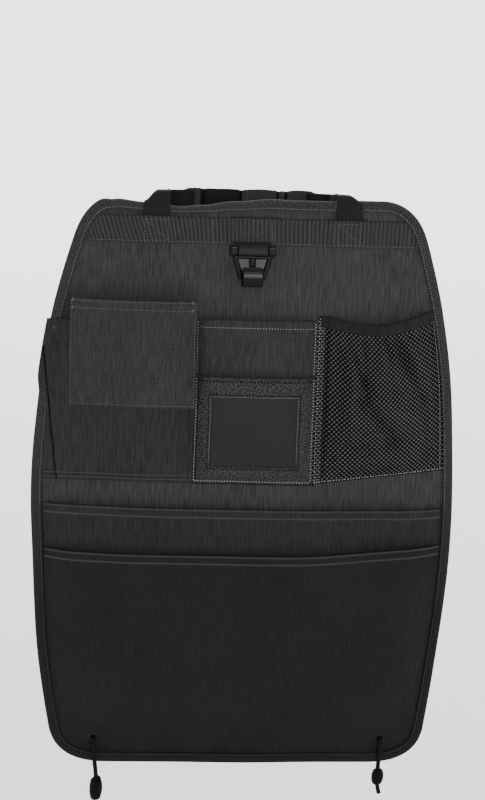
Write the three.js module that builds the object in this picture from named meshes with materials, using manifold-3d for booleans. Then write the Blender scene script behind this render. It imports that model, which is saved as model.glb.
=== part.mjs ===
// Car seat back organizer: a bound cloth panel with pockets that hangs from the two posts of a headrest.
//
// Millimetres, +Z up. The organizer is drawn as it hangs, with its front towards -Y.
// The origin is where it hangs from: midway between the posts, at the height where the straps bear on them.
// Depths are measured out from the back of the panel, towards whoever looks at it.

import * as THREE from "three";
import { mergeVertices } from "three/addons/utils/BufferGeometryUtils.js";
import Module from "manifold-3d";

const wasm = await Module();
wasm.setup();

// Clearances between pieces that are sewn or pressed together in the real product
const GAP = 0.3;
const SEW_IN = 2.5;

// Headrest posts, and the straps that go round them
const POST_SPACING = 164;
const POST_DIAMETER = 12;
const POST_CLEARANCE = 0.6;
const STRAP_WIDTH = 28;
const STRAP_THICKNESS = 1.3;
const STRAP_SPREAD = 208;
const STRAP_SEWN = 30;
const STRAP_LAP = 20;

// Gathered elastic between the straps, behind the posts
const ELASTIC_HEIGHT = 28;
const ELASTIC_THICKNESS = 1.5;
const ELASTIC_FOLD = 1.6;
const ELASTIC_FOLDS = 15;

// Panel: its outline from the top corner to the bottom corner
const PANEL_TOP = 7;
const PANEL_HEIGHT = 631;
const PANEL_WIDTH = 464;
const PANEL_THICKNESS = 2.4;
const PANEL_STANDOFF = 46;
const SHOULDER_TAPER = 42;
const SHOULDER_DROP = 42;
const TOP_CORNER = 50;
const WIDEST_DROP = 332;
const FOOT_TAPER = 21;
const FOOT_RISE = 43;
const BOTTOM_CORNER = 61;

// How the hung panel falls back: its flat middle strip, its sides and its top edge
const FLAT_STRIP = 24;
const EDGE_FALL = 10;
const TOP_ROLL = 5;
const ROLL_RUN = 24;

// Binding tape folded over the edge
const BINDING_WIDTH = 9;
const BINDING_THICKNESS = 1.2;

// Smooth facing, and the ribbed band below it
const FACING_HEIGHT = 10;
const FACING_THICKNESS = 0.8;
const BAND_DROP = 19;
const BAND_HEIGHT = 29;
const BAND_THICKNESS = 1.1;
const BAND_RIB = 0.7;
const BAND_RIBS = 62;

// Bag hook: a bar, two tapered arms with a thin web between them, and a lip turned up in front
const HOOK_WIDTH = 49;
const HOOK_BAR_DIAMETER = 8;
const HOOK_BAR_DROP = 53.5;
const HOOK_BAR_CLEARANCE = 0.4;
const HOOK_SWING_CLEARANCE = 0.6;
const HOOK_SHOULDER = 4.6;
const HOOK_ARM = 2.6;
const HOOK_PLATE = 5;
const HOOK_WEB = 2;
const HOOK_WEB_LEAN = 8;
const HOOK_BACK = 3.4;
const HOOK_TAPER = 30;
const HOOK_LIP_WIDTH = 22.6;
const HOOK_LIP_THICKNESS = 3.2;
const HOOK_LIP_RISE = 13.5;
const HOOK_BEND = 6.6;
const HOOK_BEND_DROP = 30.5;
const HOOK_RIB = 6;
const TAB_WIDTH = 31.6;
const TAB_THICKNESS = 1.4;
const TAB_SEWN = 22;

// Pockets: drops below the top edge of the panel, and side edges from the middle of the panel
const CLOTH = 1.2;
const HEM_EXTRA = 0.5;
const PLEATED_DROP = 133;
const PLEATED_HEIGHT = 177;
const PLEATED_GAPE = 7;
const PLEAT = 14;
const PLEAT_STEP = 1.6;
const PATCH_DROP = 109;
const PATCH_HEIGHT = 117;
const PATCH_WIDTH = 137;
const PATCH_GAPE = 8;
const CENTRE_LEFT = -58;
const CENTRE_WIDTH = 132;
const CENTRE_DROP = 129;
const CENTRE_GAPE = 6.4;
const WINDOW_FRAME_DROP = 195;
const WINDOW_FRAME_SIDE = 17;
const WINDOW_FRAME_TOP = 19;
const WINDOW_FRAME_FOOT = 17;
const WINDOW_GAPE = 5;
const WINDOW_PANE = 0.6;
const WINDOW_TUCK = 5;
const MESH_HEM_DROP = 124;
const MESH_HEM_RISE = 9;
const MESH_HEM_SAG = 8;
const MESH_HEM_HEIGHT = 12;
const MESH_HEM_THICKNESS = 1;
const MESH_BULGE = 22;
const MESH_GATHER = 1.6;
const MESH_FLANGE = 9;
const MESH_COLUMNS = 17;
const MESH_ROWS = 12;
const LONG_DROP = 337;
const LONG_GAPE = 8;
const MAIN_DROP = 387;
const MAIN_GAPE = 8.5;
const ROW_HEM = 9;
const HEM_SAG = 4;
const SEAM_RUN = 22;
const NARROW_SEAM_RUN = 18;
const WIDE_SEAM_RUN = 48;

// Eyelets in the bottom corners, and the elastic cord through them
const EYELET_INSET = 48.5;
const EYELET_RISE = 27;
const EYELET_BORE = 5.4;
const EYELET_WALL = 0.8;
const EYELET_FLANGE = 11;
const EYELET_ROLL = 1.2;
const CORD_DIAMETER = 3.5;

// Derived levels and half sizes
const PANEL_BOTTOM = PANEL_TOP - PANEL_HEIGHT;
const PANEL_HALF = PANEL_WIDTH / 2;
const SHOULDER_HALF = PANEL_HALF - SHOULDER_TAPER;
const TOP_HALF = SHOULDER_HALF - TOP_CORNER;
const FOOT_HALF = PANEL_HALF - FOOT_TAPER;
const BOTTOM_HALF = FOOT_HALF - BOTTOM_CORNER;
const PANEL_BACK = -PANEL_STANDOFF;
const FACE = PANEL_THICKNESS + GAP;
const BAND_TOP = PANEL_TOP - BAND_DROP;
const BAND_FOOT = BAND_TOP - BAND_HEIGHT;
const LAYER = CLOTH + GAP;
const CENTRE_RIGHT = CENTRE_LEFT + CENTRE_WIDTH;
const ROW_FOOT = PANEL_TOP - PLEATED_DROP - PLEATED_HEIGHT;
const LONG_TOP = PANEL_TOP - LONG_DROP;
const MAIN_TOP = PANEL_TOP - MAIN_DROP;
const POST_X = POST_SPACING / 2;
const STRAP_X = STRAP_SPREAD / 2;

// Materials, one for each kind of surface
function surface(colour, roughness, metalness = 0) {
  return new THREE.MeshStandardMaterial({ color: colour, roughness, metalness });
}
const PANEL_CLOTH = surface(0x3b3b3b, 0.9);
const SMOOTH_CLOTH = surface(0x333333, 0.88);
const DARK_CLOTH = surface(0x202020, 0.92);
const TAPE = surface(0x2e2e2e, 0.85);
const WEBBING = surface(0x191919, 0.85);
const MESH_CLOTH = surface(0x262626, 0.6);
const CLEAR_SHEET = surface(0x4a4a4a, 0.2);
const PLASTIC = surface(0x111111, 0.35);
const PAINTED_METAL = surface(0x0d0d0d, 0.3, 0.6);
const CORD = surface(0x0b0b0b, 0.8);

const organizer = new THREE.Group();

function add(name, geometry, material) {
  const mesh = new THREE.Mesh(facingOut(geometry), material);
  mesh.name = name;
  organizer.add(mesh);
}

// Shared geometry helpers

function signedVolume(geometry) {
  const position = geometry.getAttribute("position");
  const index = geometry.index;
  const count = index ? index.count : position.count;
  const corner = [new THREE.Vector3(), new THREE.Vector3(), new THREE.Vector3()];
  let volume = 0;
  for (let i = 0; i < count; i += 3) {
    for (let k = 0; k < 3; k += 1) {
      corner[k].fromBufferAttribute(position, index ? index.getX(i + k) : i + k);
    }
    volume += corner[0].dot(corner[1].cross(corner[2])) / 6;
  }
  return volume;
}

function facingOut(geometry) {
  const plain = new THREE.BufferGeometry();
  plain.setAttribute("position", geometry.getAttribute("position"));
  plain.setIndex(geometry.index);
  const merged = mergeVertices(plain, 1e-4);
  if (signedVolume(merged) < 0) {
    merged.setIndex(Array.from(merged.index.array).reverse());
  }
  merged.computeVertexNormals();
  return merged;
}

function toSolid(geometry) {
  const closed = facingOut(geometry);
  return new wasm.Manifold(new wasm.Mesh({
    numProp: 3,
    vertProperties: new Float32Array(closed.getAttribute("position").array),
    triVerts: new Uint32Array(closed.index.array),
  }));
}

function fromSolid(solid) {
  const mesh = solid.getMesh();
  const geometry = new THREE.BufferGeometry();
  geometry.setAttribute("position", new THREE.BufferAttribute(new Float32Array(mesh.vertProperties), 3));
  geometry.setIndex(Array.from(mesh.triVerts));
  return geometry;
}

function interpolate(table, value) {
  if (value <= table[0][0]) return table[0][1];
  for (let i = 1; i < table.length; i += 1) {
    if (value <= table[i][0]) {
      const share = (value - table[i - 1][0]) / (table[i][0] - table[i - 1][0]);
      return table[i - 1][1] + share * (table[i][1] - table[i - 1][1]);
    }
  }
  return table[table.length - 1][1];
}

function steps(from, to, count) {
  return Array.from({ length: count + 1 }, (_, i) => from + ((to - from) * i) / count);
}

// One side of the panel's outline, from the bottom corner up to the top corner

function sideOutline() {
  const bottom = PANEL_BOTTOM;
  const footRise = bottom + FOOT_RISE;
  const widest = PANEL_TOP - WIDEST_DROP;
  const shoulder = PANEL_TOP - SHOULDER_DROP;
  const point = (x, z) => new THREE.Vector2(x, z);
  const arcs = [
    [point(BOTTOM_HALF, bottom), point(FOOT_HALF - 4, bottom), point(FOOT_HALF, footRise), 6],
    [point(FOOT_HALF, footRise), point(PANEL_HALF, (widest + footRise) / 2), point(PANEL_HALF, widest), 7],
    [point(PANEL_HALF, widest), point(PANEL_HALF - 1, (widest + shoulder) / 2 + 20),
      point(SHOULDER_HALF, shoulder), 8],
    [point(SHOULDER_HALF, shoulder), point(SHOULDER_HALF - 14, PANEL_TOP), point(TOP_HALF, PANEL_TOP), 6],
  ];
  const points = [arcs[0][0]];
  for (const [from, control, to, count] of arcs) {
    points.push(...new THREE.QuadraticBezierCurve(from, control, to).getPoints(count).slice(1));
  }
  return points;
}

const SIDE = sideOutline();
const SIDE_TABLE = SIDE.map((point) => [point.y, point.x]);

function halfWidth(z) {
  return interpolate(SIDE_TABLE, z);
}

function sewnHalf(z) {
  const safe = THREE.MathUtils.clamp(z, PANEL_BOTTOM + SEW_IN, PANEL_TOP - SEW_IN);
  return halfWidth(safe) - SEW_IN;
}

function boundHalf(z) {
  return sewnHalf(z) - (BINDING_WIDTH - SEW_IN);
}

// How far the hung panel lies behind its own middle

function fall(x, z) {
  const out = Math.max(0, Math.abs(x) - FLAT_STRIP / 2) / (PANEL_HALF - FLAT_STRIP / 2);
  const roll = Math.max(0, (z - PANEL_TOP + ROLL_RUN) / ROLL_RUN);
  return EDGE_FALL * out * out + TOP_ROLL * roll * roll;
}

function place(x, depth, z) {
  return new THREE.Vector3(x, PANEL_BACK + fall(x, z) - depth, z);
}

// A closed sheet between two grids of points, rows upwards and columns to the right; open cells are holes

function closedSheet(back, front, isOpen = () => false) {
  const rows = back.length;
  const columns = back[0].length;
  const points = [...back.flat(), ...front.flat()];
  const offset = rows * columns;
  const index = [];
  const filled = (r, c) => r >= 0 && c >= 0 && r < rows - 1 && c < columns - 1 && !isOpen(r, c);
  const wall = (p, q) => index.push(q + offset, p + offset, p, q + offset, p, q);
  for (let r = 0; r < rows - 1; r += 1) {
    for (let c = 0; c < columns - 1; c += 1) {
      if (!filled(r, c)) continue;
      const a = r * columns + c;
      const b = a + 1;
      const e = b + columns;
      const d = a + columns;
      index.push(a + offset, b + offset, e + offset, a + offset, e + offset, d + offset);
      index.push(a, e, b, a, d, e);
      if (!filled(r - 1, c)) wall(a, b);
      if (!filled(r, c + 1)) wall(b, e);
      if (!filled(r + 1, c)) wall(e, d);
      if (!filled(r, c - 1)) wall(d, a);
    }
  }
  const geometry = new THREE.BufferGeometry();
  geometry.setAttribute("position", new THREE.Float32BufferAttribute(points.flatMap((p) => [p.x, p.y, p.z]), 3));
  geometry.setIndex(index);
  return geometry;
}

// A flat-laid sheet: its depth and thickness at each place, and its height shift where a hem sags

function layCloth({ rows, columnsAt, depth, thickness, shift = () => 0, isOpen }) {
  const back = [];
  const front = [];
  for (const z of rows) {
    const columns = columnsAt(z);
    back.push(columns.map((x) => place(x, depth(x, z), z).setZ(z + shift(x, z))));
    front.push(columns.map((x) => place(x, depth(x, z) + thickness(x, z), z).setZ(z + shift(x, z))));
  }
  return closedSheet(back, front, isOpen);
}

// A strip of webbing along a path, with the direction of its width given at each point

function ribbon(centres, across, width, thickness, columns = 2) {
  const back = [];
  const front = [];
  for (let i = 0; i < centres.length; i += 1) {
    const before = centres[Math.max(0, i - 1)];
    const after = centres[Math.min(centres.length - 1, i + 1)];
    const tangent = after.clone().sub(before).normalize();
    const side = across[i].clone().normalize();
    const normal = side.clone().cross(tangent).normalize();
    const backRow = [];
    const frontRow = [];
    for (const share of steps(-0.5, 0.5, columns)) {
      const middle = centres[i].clone().addScaledVector(side, share * width);
      backRow.push(middle.clone().addScaledVector(normal, -thickness / 2));
      frontRow.push(middle.clone().addScaledVector(normal, thickness / 2));
    }
    back.push(backRow);
    front.push(frontRow);
  }
  return closedSheet(back, front);
}

// A body swept through a row of rings, closed into a loop or capped at both ends

function sweptRings(rings, cap, loop = false) {
  const size = rings[0].length;
  const points = rings.flat();
  const index = [];
  const last = loop ? rings.length : rings.length - 1;
  for (let i = 0; i < last; i += 1) {
    const next = (i + 1) % rings.length;
    for (let k = 0; k < size; k += 1) {
      const a = i * size + k;
      const b = i * size + ((k + 1) % size);
      const c = next * size + ((k + 1) % size);
      const d = next * size + k;
      index.push(a, b, c, a, c, d);
    }
  }
  const end = (rings.length - 1) * size;
  for (let k = 0; k < cap.length; k += 3) {
    index.push(cap[k], cap[k + 2], cap[k + 1]);
    index.push(end + cap[k], end + cap[k + 1], end + cap[k + 2]);
  }
  const geometry = new THREE.BufferGeometry();
  geometry.setAttribute("position", new THREE.Float32BufferAttribute(points.flatMap((p) => [p.x, p.y, p.z]), 3));
  geometry.setIndex(index);
  return geometry;
}

// A tape folded over an edge: a U section carried along the edge, its legs at the depths given

function foldedTape({ edge, outward, width, thickness, frontAt, backAt }) {
  const rings = edge.map((point, i) => {
    const at = (out, depthAt, extra) => {
      const x = point.x + outward[i].x * out;
      const z = point.y + outward[i].y * out;
      return place(x, depthAt(x, z) + extra, z);
    };
    return [
      at(-width, frontAt, thickness),
      at(GAP + thickness, frontAt, thickness),
      at(GAP + thickness, backAt, -thickness),
      at(-width, backAt, -thickness),
      at(-width, backAt, 0),
      at(GAP, backAt, 0),
      at(GAP, frontAt, 0),
      at(-width, frontAt, 0),
    ];
  });
  return sweptRings(rings, [], true);
}

// Pocket fronts: sewn flat along their seams, standing off what is behind them in between

const SEAM_KNOTS = [0, 0.22, 0.55, 1];
const SEAM_RISE = [0, 0.45, 0.85, 1];

function rise(distance, run) {
  return interpolate(SEAM_KNOTS.map((share, i) => [share * run, SEAM_RISE[i]]), distance);
}

function standOff(pocket, x, z) {
  const left = rise(x - pocket.leftSeam(z), pocket.run);
  const right = rise(pocket.rightSeam(z) - x, pocket.run);
  const foot = rise(z - pocket.footSeam, pocket.run);
  return pocket.gape * left * right * foot;
}

function pocketColumns(pocket, inner) {
  return (z) => {
    const left = pocket.leftSeam(z);
    const right = pocket.rightSeam(z);
    const run = SEAM_KNOTS.map((share) => share * pocket.run);
    const middle = steps(left + pocket.run, right - pocket.run, inner).slice(1, -1);
    return [
      pocket.left(z),
      ...run.map((offset) => left + offset),
      ...middle,
      ...run.map((offset) => right - offset).reverse(),
      pocket.right(z),
    ];
  };
}

function pocketRows(pocket, inner) {
  const run = SEAM_KNOTS.map((share) => pocket.footSeam + share * pocket.run);
  const hem = pocket.top - ROW_HEM;
  const middle = steps(pocket.footSeam + pocket.run, hem - 1, inner).slice(1);
  return [pocket.foot, ...pocket.corner, ...run, ...middle, hem, pocket.top];
}

function hemmed(pocket) {
  return (x, z) => CLOTH + (z >= pocket.top - ROW_HEM ? HEM_EXTRA : 0);
}

const PLEATED = {
  left: (z) => -sewnHalf(z),
  right: () => CENTRE_LEFT - GAP,
  leftSeam: (z) => -boundHalf(z),
  rightSeam: () => CENTRE_LEFT - GAP - 3,
  foot: ROW_FOOT,
  footSeam: ROW_FOOT + 5,
  top: PANEL_TOP - PLEATED_DROP,
  gape: PLEATED_GAPE,
  run: SEAM_RUN,
  corner: [],
};

const PATCH_RIGHT = CENTRE_LEFT - GAP;
const PATCH = {
  left: () => PATCH_RIGHT - PATCH_WIDTH,
  right: () => PATCH_RIGHT,
  leftSeam: () => PATCH_RIGHT - PATCH_WIDTH + 3,
  rightSeam: () => PATCH_RIGHT - 3,
  foot: PANEL_TOP - PATCH_DROP - PATCH_HEIGHT,
  footSeam: PANEL_TOP - PATCH_DROP - PATCH_HEIGHT + 4,
  top: PANEL_TOP - PATCH_DROP,
  gape: PATCH_GAPE,
  run: SEAM_RUN,
  corner: [],
};

const CENTRE = {
  left: () => CENTRE_LEFT,
  right: () => CENTRE_RIGHT,
  leftSeam: () => CENTRE_LEFT + 3,
  rightSeam: () => CENTRE_RIGHT - 3,
  foot: ROW_FOOT,
  footSeam: ROW_FOOT + 4,
  top: PANEL_TOP - CENTRE_DROP,
  gape: CENTRE_GAPE,
  run: NARROW_SEAM_RUN,
  corner: [],
};

const WINDOW = { ...CENTRE, top: PANEL_TOP - WINDOW_FRAME_DROP, gape: WINDOW_GAPE };

const FIELD_FOOT = PANEL_BOTTOM + EYELET_RISE + EYELET_FLANGE;
const LONG = {
  left: (z) => -sewnHalf(z),
  right: (z) => sewnHalf(z),
  leftSeam: (z) => -boundHalf(z),
  rightSeam: (z) => boundHalf(z),
  foot: PANEL_BOTTOM + SEW_IN,
  footSeam: FIELD_FOOT,
  top: LONG_TOP,
  gape: LONG_GAPE,
  run: WIDE_SEAM_RUN,
  corner: [7, 16, 26].map((up) => PANEL_BOTTOM + SEW_IN + up),
};

const MAIN = { ...LONG, top: MAIN_TOP, gape: MAIN_GAPE };

function pleatedDepth(x, z) {
  const pleatRight = PLEATED.rightSeam(z) - PLEAT;
  const pleatLeft = PLEATED.leftSeam(z) + PLEAT;
  const between = x > pleatLeft - 0.1 && x < pleatRight + 0.1;
  return FACE + standOff(PLEATED, x, z) + (between ? PLEAT_STEP : 0);
}

function patchDepth(x, z) {
  return FACE + PLEATED_GAPE + PLEAT_STEP + LAYER + standOff(PATCH, x, z);
}

function centreDepth(x, z) {
  return FACE + standOff(CENTRE, x, z);
}

function frameDepth(x, z) {
  return centreDepth(x, z) + LAYER + WINDOW_PANE + GAP + standOff(WINDOW, x, z);
}

function longDepth(x, z) {
  return FACE + standOff(LONG, x, z);
}

function mainDepth(x, z) {
  return longDepth(x, z) + LAYER + standOff(MAIN, x, z);
}

function hemSag(x, z) {
  const share = THREE.MathUtils.clamp((z - PANEL_BOTTOM) / (LONG_TOP - PANEL_BOTTOM), 0, 1);
  const across = 1 - (x / PANEL_HALF) ** 2;
  return -HEM_SAG * share * across;
}

// Panel and its top trim

function backPanel() {
  const columnsAt = (z) => {
    const side = steps(FLAT_STRIP / 2, halfWidth(z), 5);
    return [...side.map((x) => -x).reverse(), ...side];
  };
  const rows = SIDE.map((point) => point.y);
  return layCloth({ rows, columnsAt, depth: () => 0, thickness: () => PANEL_THICKNESS });
}

function outlinePoints() {
  const flat = (half, z) => steps(0, half, 6).slice(0, -1).map((x) => new THREE.Vector2(x, z));
  const right = [
    ...flat(BOTTOM_HALF, PANEL_BOTTOM),
    ...SIDE,
    ...flat(TOP_HALF, PANEL_TOP).reverse(),
  ];
  const left = right.slice(1, -1).reverse().map((point) => new THREE.Vector2(-point.x, point.y));
  return [...right, ...left];
}

function outwardOf(points) {
  return points.map((point, i) => {
    const count = points.length;
    const before = points[(i + count - 1) % count];
    const after = points[(i + 1) % count];
    const along = after.clone().sub(before).normalize();
    return new THREE.Vector2(along.y, -along.x);
  });
}

function bindingLevel(x, z) {
  const ribbed = FACE + BAND_THICKNESS + BAND_RIB + 2 * GAP;
  const table = [
    [LONG_TOP - 6, FACE + 2 * LAYER + HEM_EXTRA],
    [LONG_TOP + 14, FACE + LAYER + HEM_EXTRA],
    [PANEL_TOP - PATCH_DROP, FACE + LAYER + HEM_EXTRA],
    [PANEL_TOP - PATCH_DROP + 16, FACE],
    [BAND_FOOT - 14, FACE],
    [BAND_FOOT - 4, ribbed],
    [BAND_TOP + 4, ribbed],
    [PANEL_TOP - BINDING_WIDTH, FACE + FACING_THICKNESS + GAP],
  ];
  return interpolate(table, z);
}

function edgeBinding() {
  const edge = outlinePoints();
  return foldedTape({
    edge,
    outward: outwardOf(edge),
    width: BINDING_WIDTH,
    thickness: BINDING_THICKNESS,
    frontAt: bindingLevel,
    backAt: () => -GAP,
  });
}

function topFacing() {
  const foot = BAND_TOP + GAP;
  const rows = [foot, foot + FACING_HEIGHT / 2, foot + FACING_HEIGHT, PANEL_TOP - SEW_IN];
  const columnsAt = (z) => steps(-sewnHalf(z), sewnHalf(z), 12);
  return layCloth({ rows, columnsAt, depth: () => FACE, thickness: () => FACING_THICKNESS });
}

function over(x, middle, half, shoulder) {
  return rise(half + shoulder - Math.abs(x - middle), shoulder);
}

function bandLift(x, z) {
  const straps = Math.max(
    over(x, STRAP_X, STRAP_WIDTH / 2 + 2, 8),
    over(x, -STRAP_X, STRAP_WIDTH / 2 + 2, 8),
  );
  const tab = over(x, 0, TAB_WIDTH / 2 + 2, 9);
  const strapLift = FACING_THICKNESS + STRAP_THICKNESS + 3 * GAP;
  const tabLift = 2 * (TAB_THICKNESS + GAP) + (z < BAND_FOOT + 8 ? 0.9 : 0);
  return Math.max(straps * strapLift, tab * tabLift);
}

function ribbedBand() {
  const rows = [BAND_FOOT, BAND_FOOT + 8, BAND_TOP];
  const columnsAt = (z) => steps(-sewnHalf(z), sewnHalf(z), 2 * BAND_RIBS);
  const depth = (x, z) => FACE + bandLift(x, z);
  const ribAt = (x, z) => {
    const half = sewnHalf(z);
    const column = Math.round(((x + half) / (2 * half)) * 2 * BAND_RIBS);
    return column % 2 === 1 ? BAND_RIB : 0;
  };
  const thickness = (x, z) => BAND_THICKNESS + ribAt(x, z);
  const shift = (x, z) => (z < BAND_FOOT + 1 ? 3.4 * over(x, 0, TAB_WIDTH / 2 + 2, 9) : 0);
  return layCloth({ rows, columnsAt, depth, thickness, shift });
}

// Straps and the gathered elastic

function strap(side) {
  const centres = [];
  const across = [];
  const push = (point, twist, lean = 0) => {
    centres.push(point);
    across.push(new THREE.Vector3(side * Math.cos(twist), lean, -Math.sin(twist)));
  };
  const x = side * STRAP_X;
  const slope = (fall(STRAP_X + 1, 0) - fall(STRAP_X - 1, 0)) / 2;
  const onBand = FACE + FACING_THICKNESS + 1.5 * GAP + STRAP_THICKNESS / 2;
  const onBinding = onBand + GAP + BINDING_THICKNESS;
  const foot = PANEL_TOP - STRAP_SEWN - BINDING_WIDTH;
  const lip = PANEL_TOP - BINDING_WIDTH;
  for (const z of steps(foot, lip - 6, 4)) push(place(x, onBand, z), 0, slope);
  push(place(x, onBinding, lip - 2), 0, slope);
  push(place(x, onBinding, (lip + PANEL_TOP) / 2), 0, slope);
  const bendZ = PANEL_TOP + GAP + BINDING_THICKNESS - 1;
  const turn = 2.4;
  for (const angle of steps(0, Math.PI / 2, 4)) {
    const depth = onBinding - turn + 0.4 + turn * Math.cos(angle);
    push(place(x, depth, bendZ).setZ(bendZ + turn * Math.sin(angle)), 0, slope);
  }
  const top = bendZ + turn;
  const bend = POST_DIAMETER / 2 + POST_CLEARANCE + STRAP_THICKNESS / 2;
  const behind = place(x, -3, PANEL_TOP).setZ(top);
  push(behind.clone(), 0);
  const route = new THREE.CubicBezierCurve3(
    behind,
    behind.clone().add(new THREE.Vector3(0, 12, 0)),
    new THREE.Vector3(side * (POST_X + bend), -16, 0),
    new THREE.Vector3(side * (POST_X + bend), 0, 0),
  );
  for (const share of steps(0, 1, 12).slice(1)) {
    const twist = (Math.PI / 2) * THREE.MathUtils.smoothstep(share, 0.02, 0.8);
    push(route.getPoint(share), twist);
  }
  for (const angle of steps(0, Math.PI / 2, 6).slice(1)) {
    const px = side * (POST_X + bend * Math.cos(angle));
    push(new THREE.Vector3(px, bend * Math.sin(angle), 0), Math.PI / 2);
  }
  for (const inwards of [4, STRAP_LAP]) {
    push(new THREE.Vector3(side * (POST_X - inwards), bend, 0), Math.PI / 2);
  }
  return ribbon(centres, across, STRAP_WIDTH, STRAP_THICKNESS, 1);
}

function headrestElastic() {
  const strapBack = POST_DIAMETER / 2 + POST_CLEARANCE + STRAP_THICKNESS;
  const flatY = strapBack + GAP + ELASTIC_THICKNESS / 2;
  const flatEnd = POST_X - 3;
  const folded = POST_X - STRAP_LAP - 3;
  const centres = [];
  const across = [];
  const push = (px, py) => {
    centres.push(new THREE.Vector3(px, py, 0));
    across.push(new THREE.Vector3(0, 0, 1));
  };
  push(-flatEnd, flatY);
  push(-folded - 4, flatY);
  const count = ELASTIC_FOLDS * 4;
  for (let i = 0; i <= count; i += 1) {
    const px = -folded + (2 * folded * i) / count;
    push(px, flatY + ELASTIC_FOLD * Math.sin((i * Math.PI) / 2));
  }
  push(folded + 4, flatY);
  push(flatEnd, flatY);
  return ribbon(centres, across, ELASTIC_HEIGHT, ELASTIC_THICKNESS, 1);
}

// Hook and the webbing loop that carries it

const BAR_Z = PANEL_TOP - HOOK_BAR_DROP;
const TAB_BEND = HOOK_BAR_DIAMETER / 2 + HOOK_BAR_CLEARANCE + TAB_THICKNESS / 2;
const BAR_DEPTH = FACE + TAB_THICKNESS / 2 + TAB_BEND;

function hookTab() {
  const centres = [];
  const across = [];
  const push = (depth, z) => {
    centres.push(new THREE.Vector3(0, PANEL_BACK - depth, z));
    across.push(new THREE.Vector3(1, 0, 0));
  };
  const backLeg = FACE + TAB_THICKNESS / 2;
  const frontLeg = backLeg + TAB_THICKNESS + GAP;
  for (const z of steps(BAND_FOOT + TAB_SEWN, BAR_Z, 3).slice(0, -1)) push(backLeg, z);
  const leave = THREE.MathUtils.degToRad(235);
  for (const angle of steps(0, leave, 13)) {
    push(BAR_DEPTH - TAB_BEND * Math.cos(angle), BAR_Z - TAB_BEND * Math.sin(angle));
  }
  const leaveDepth = BAR_DEPTH - TAB_BEND * Math.cos(leave);
  const leaveZ = BAR_Z - TAB_BEND * Math.sin(leave);
  const climb = (leaveDepth - frontLeg) / Math.tan(leave - Math.PI);
  push((leaveDepth + frontLeg) / 2, leaveZ + climb / 2);
  push(frontLeg + 0.5, leaveZ + climb);
  push(frontLeg, leaveZ + climb + 2.5);
  push(frontLeg, BAND_FOOT + TAB_SEWN - 2);
  return ribbon(centres, across, TAB_WIDTH, TAB_THICKNESS);
}

function extrudedPlate(shape, fromDepth, toDepth) {
  const geometry = new THREE.ExtrudeGeometry(shape, {
    depth: toDepth - fromDepth,
    bevelEnabled: false,
    curveSegments: 5,
  });
  geometry.rotateX(Math.PI / 2);
  geometry.translate(0, PANEL_BACK - fromDepth, 0);
  return toSolid(geometry);
}

function barPiece(radius, from, to, segments) {
  const geometry = new THREE.CylinderGeometry(radius, radius, to - from, segments);
  geometry.rotateZ(Math.PI / 2);
  geometry.translate((from + to) / 2, PANEL_BACK - BAR_DEPTH, BAR_Z);
  return toSolid(geometry);
}

function hookPlateShape(half, shoulder, low, radius) {
  const foot = HOOK_LIP_WIDTH / 2 + (half - HOOK_WIDTH / 2);
  const neck = BAR_Z - HOOK_TAPER;
  const shape = new THREE.Shape();
  shape.moveTo(-foot, low);
  shape.lineTo(foot, low);
  shape.lineTo(foot, neck);
  shape.lineTo(half, BAR_Z - 3);
  shape.lineTo(half, shoulder - radius);
  shape.quadraticCurveTo(half, shoulder, half - radius, shoulder);
  shape.lineTo(-half + radius, shoulder);
  shape.quadraticCurveTo(-half, shoulder, -half, shoulder - radius);
  shape.lineTo(-half, BAR_Z - 3);
  shape.lineTo(-foot, neck);
  shape.closePath();
  return shape;
}

function rectangle(left, right, low, high) {
  const shape = new THREE.Shape();
  shape.moveTo(left, low);
  shape.lineTo(right, low);
  shape.lineTo(right, high);
  shape.lineTo(left, high);
  shape.closePath();
  return shape;
}

function recessShape(low, high) {
  const widest = HOOK_WIDTH / 2;
  const narrow = HOOK_LIP_WIDTH / 2;
  const edgeAt = (z) => widest + ((narrow - widest) * (BAR_Z - 3 - z)) / (HOOK_TAPER - 3);
  const shape = new THREE.Shape();
  shape.moveTo(-(edgeAt(low) - HOOK_ARM), low);
  shape.lineTo(edgeAt(low) - HOOK_ARM, low);
  shape.lineTo(edgeAt(high) - HOOK_ARM, high);
  shape.lineTo(-(edgeAt(high) - HOOK_ARM), high);
  shape.closePath();
  return shape;
}

function lipProfile() {
  const inner = HOOK_BACK + HOOK_LIP_THICKNESS;
  const centre = HOOK_BACK + HOOK_LIP_THICKNESS / 2 + HOOK_BEND;
  const low = BAR_Z - HOOK_BEND_DROP;
  const outside = HOOK_BEND + HOOK_LIP_THICKNESS / 2;
  const insideR = HOOK_BEND - HOOK_LIP_THICKNESS / 2;
  const tip = low + HOOK_LIP_RISE;
  const shape = new THREE.Shape();
  shape.moveTo(HOOK_BACK, low + 12);
  shape.lineTo(HOOK_BACK, low);
  shape.absarc(centre, low, outside, Math.PI, 2 * Math.PI, false);
  shape.lineTo(centre + outside + 0.3, low + HOOK_LIP_RISE * 0.4);
  shape.lineTo(centre + outside + 1.9, tip - 1);
  shape.quadraticCurveTo(centre + outside + 2, tip + 0.6, centre + outside + 0.6, tip);
  shape.lineTo(centre + insideR + 0.9, tip - 1.2);
  shape.lineTo(centre + insideR + 0.3, low + HOOK_LIP_RISE * 0.4);
  shape.lineTo(centre + insideR, low);
  shape.absarc(centre, low, insideR, 2 * Math.PI, Math.PI, true);
  shape.lineTo(inner, low + 12);
  shape.closePath();
  return shape;
}

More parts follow.
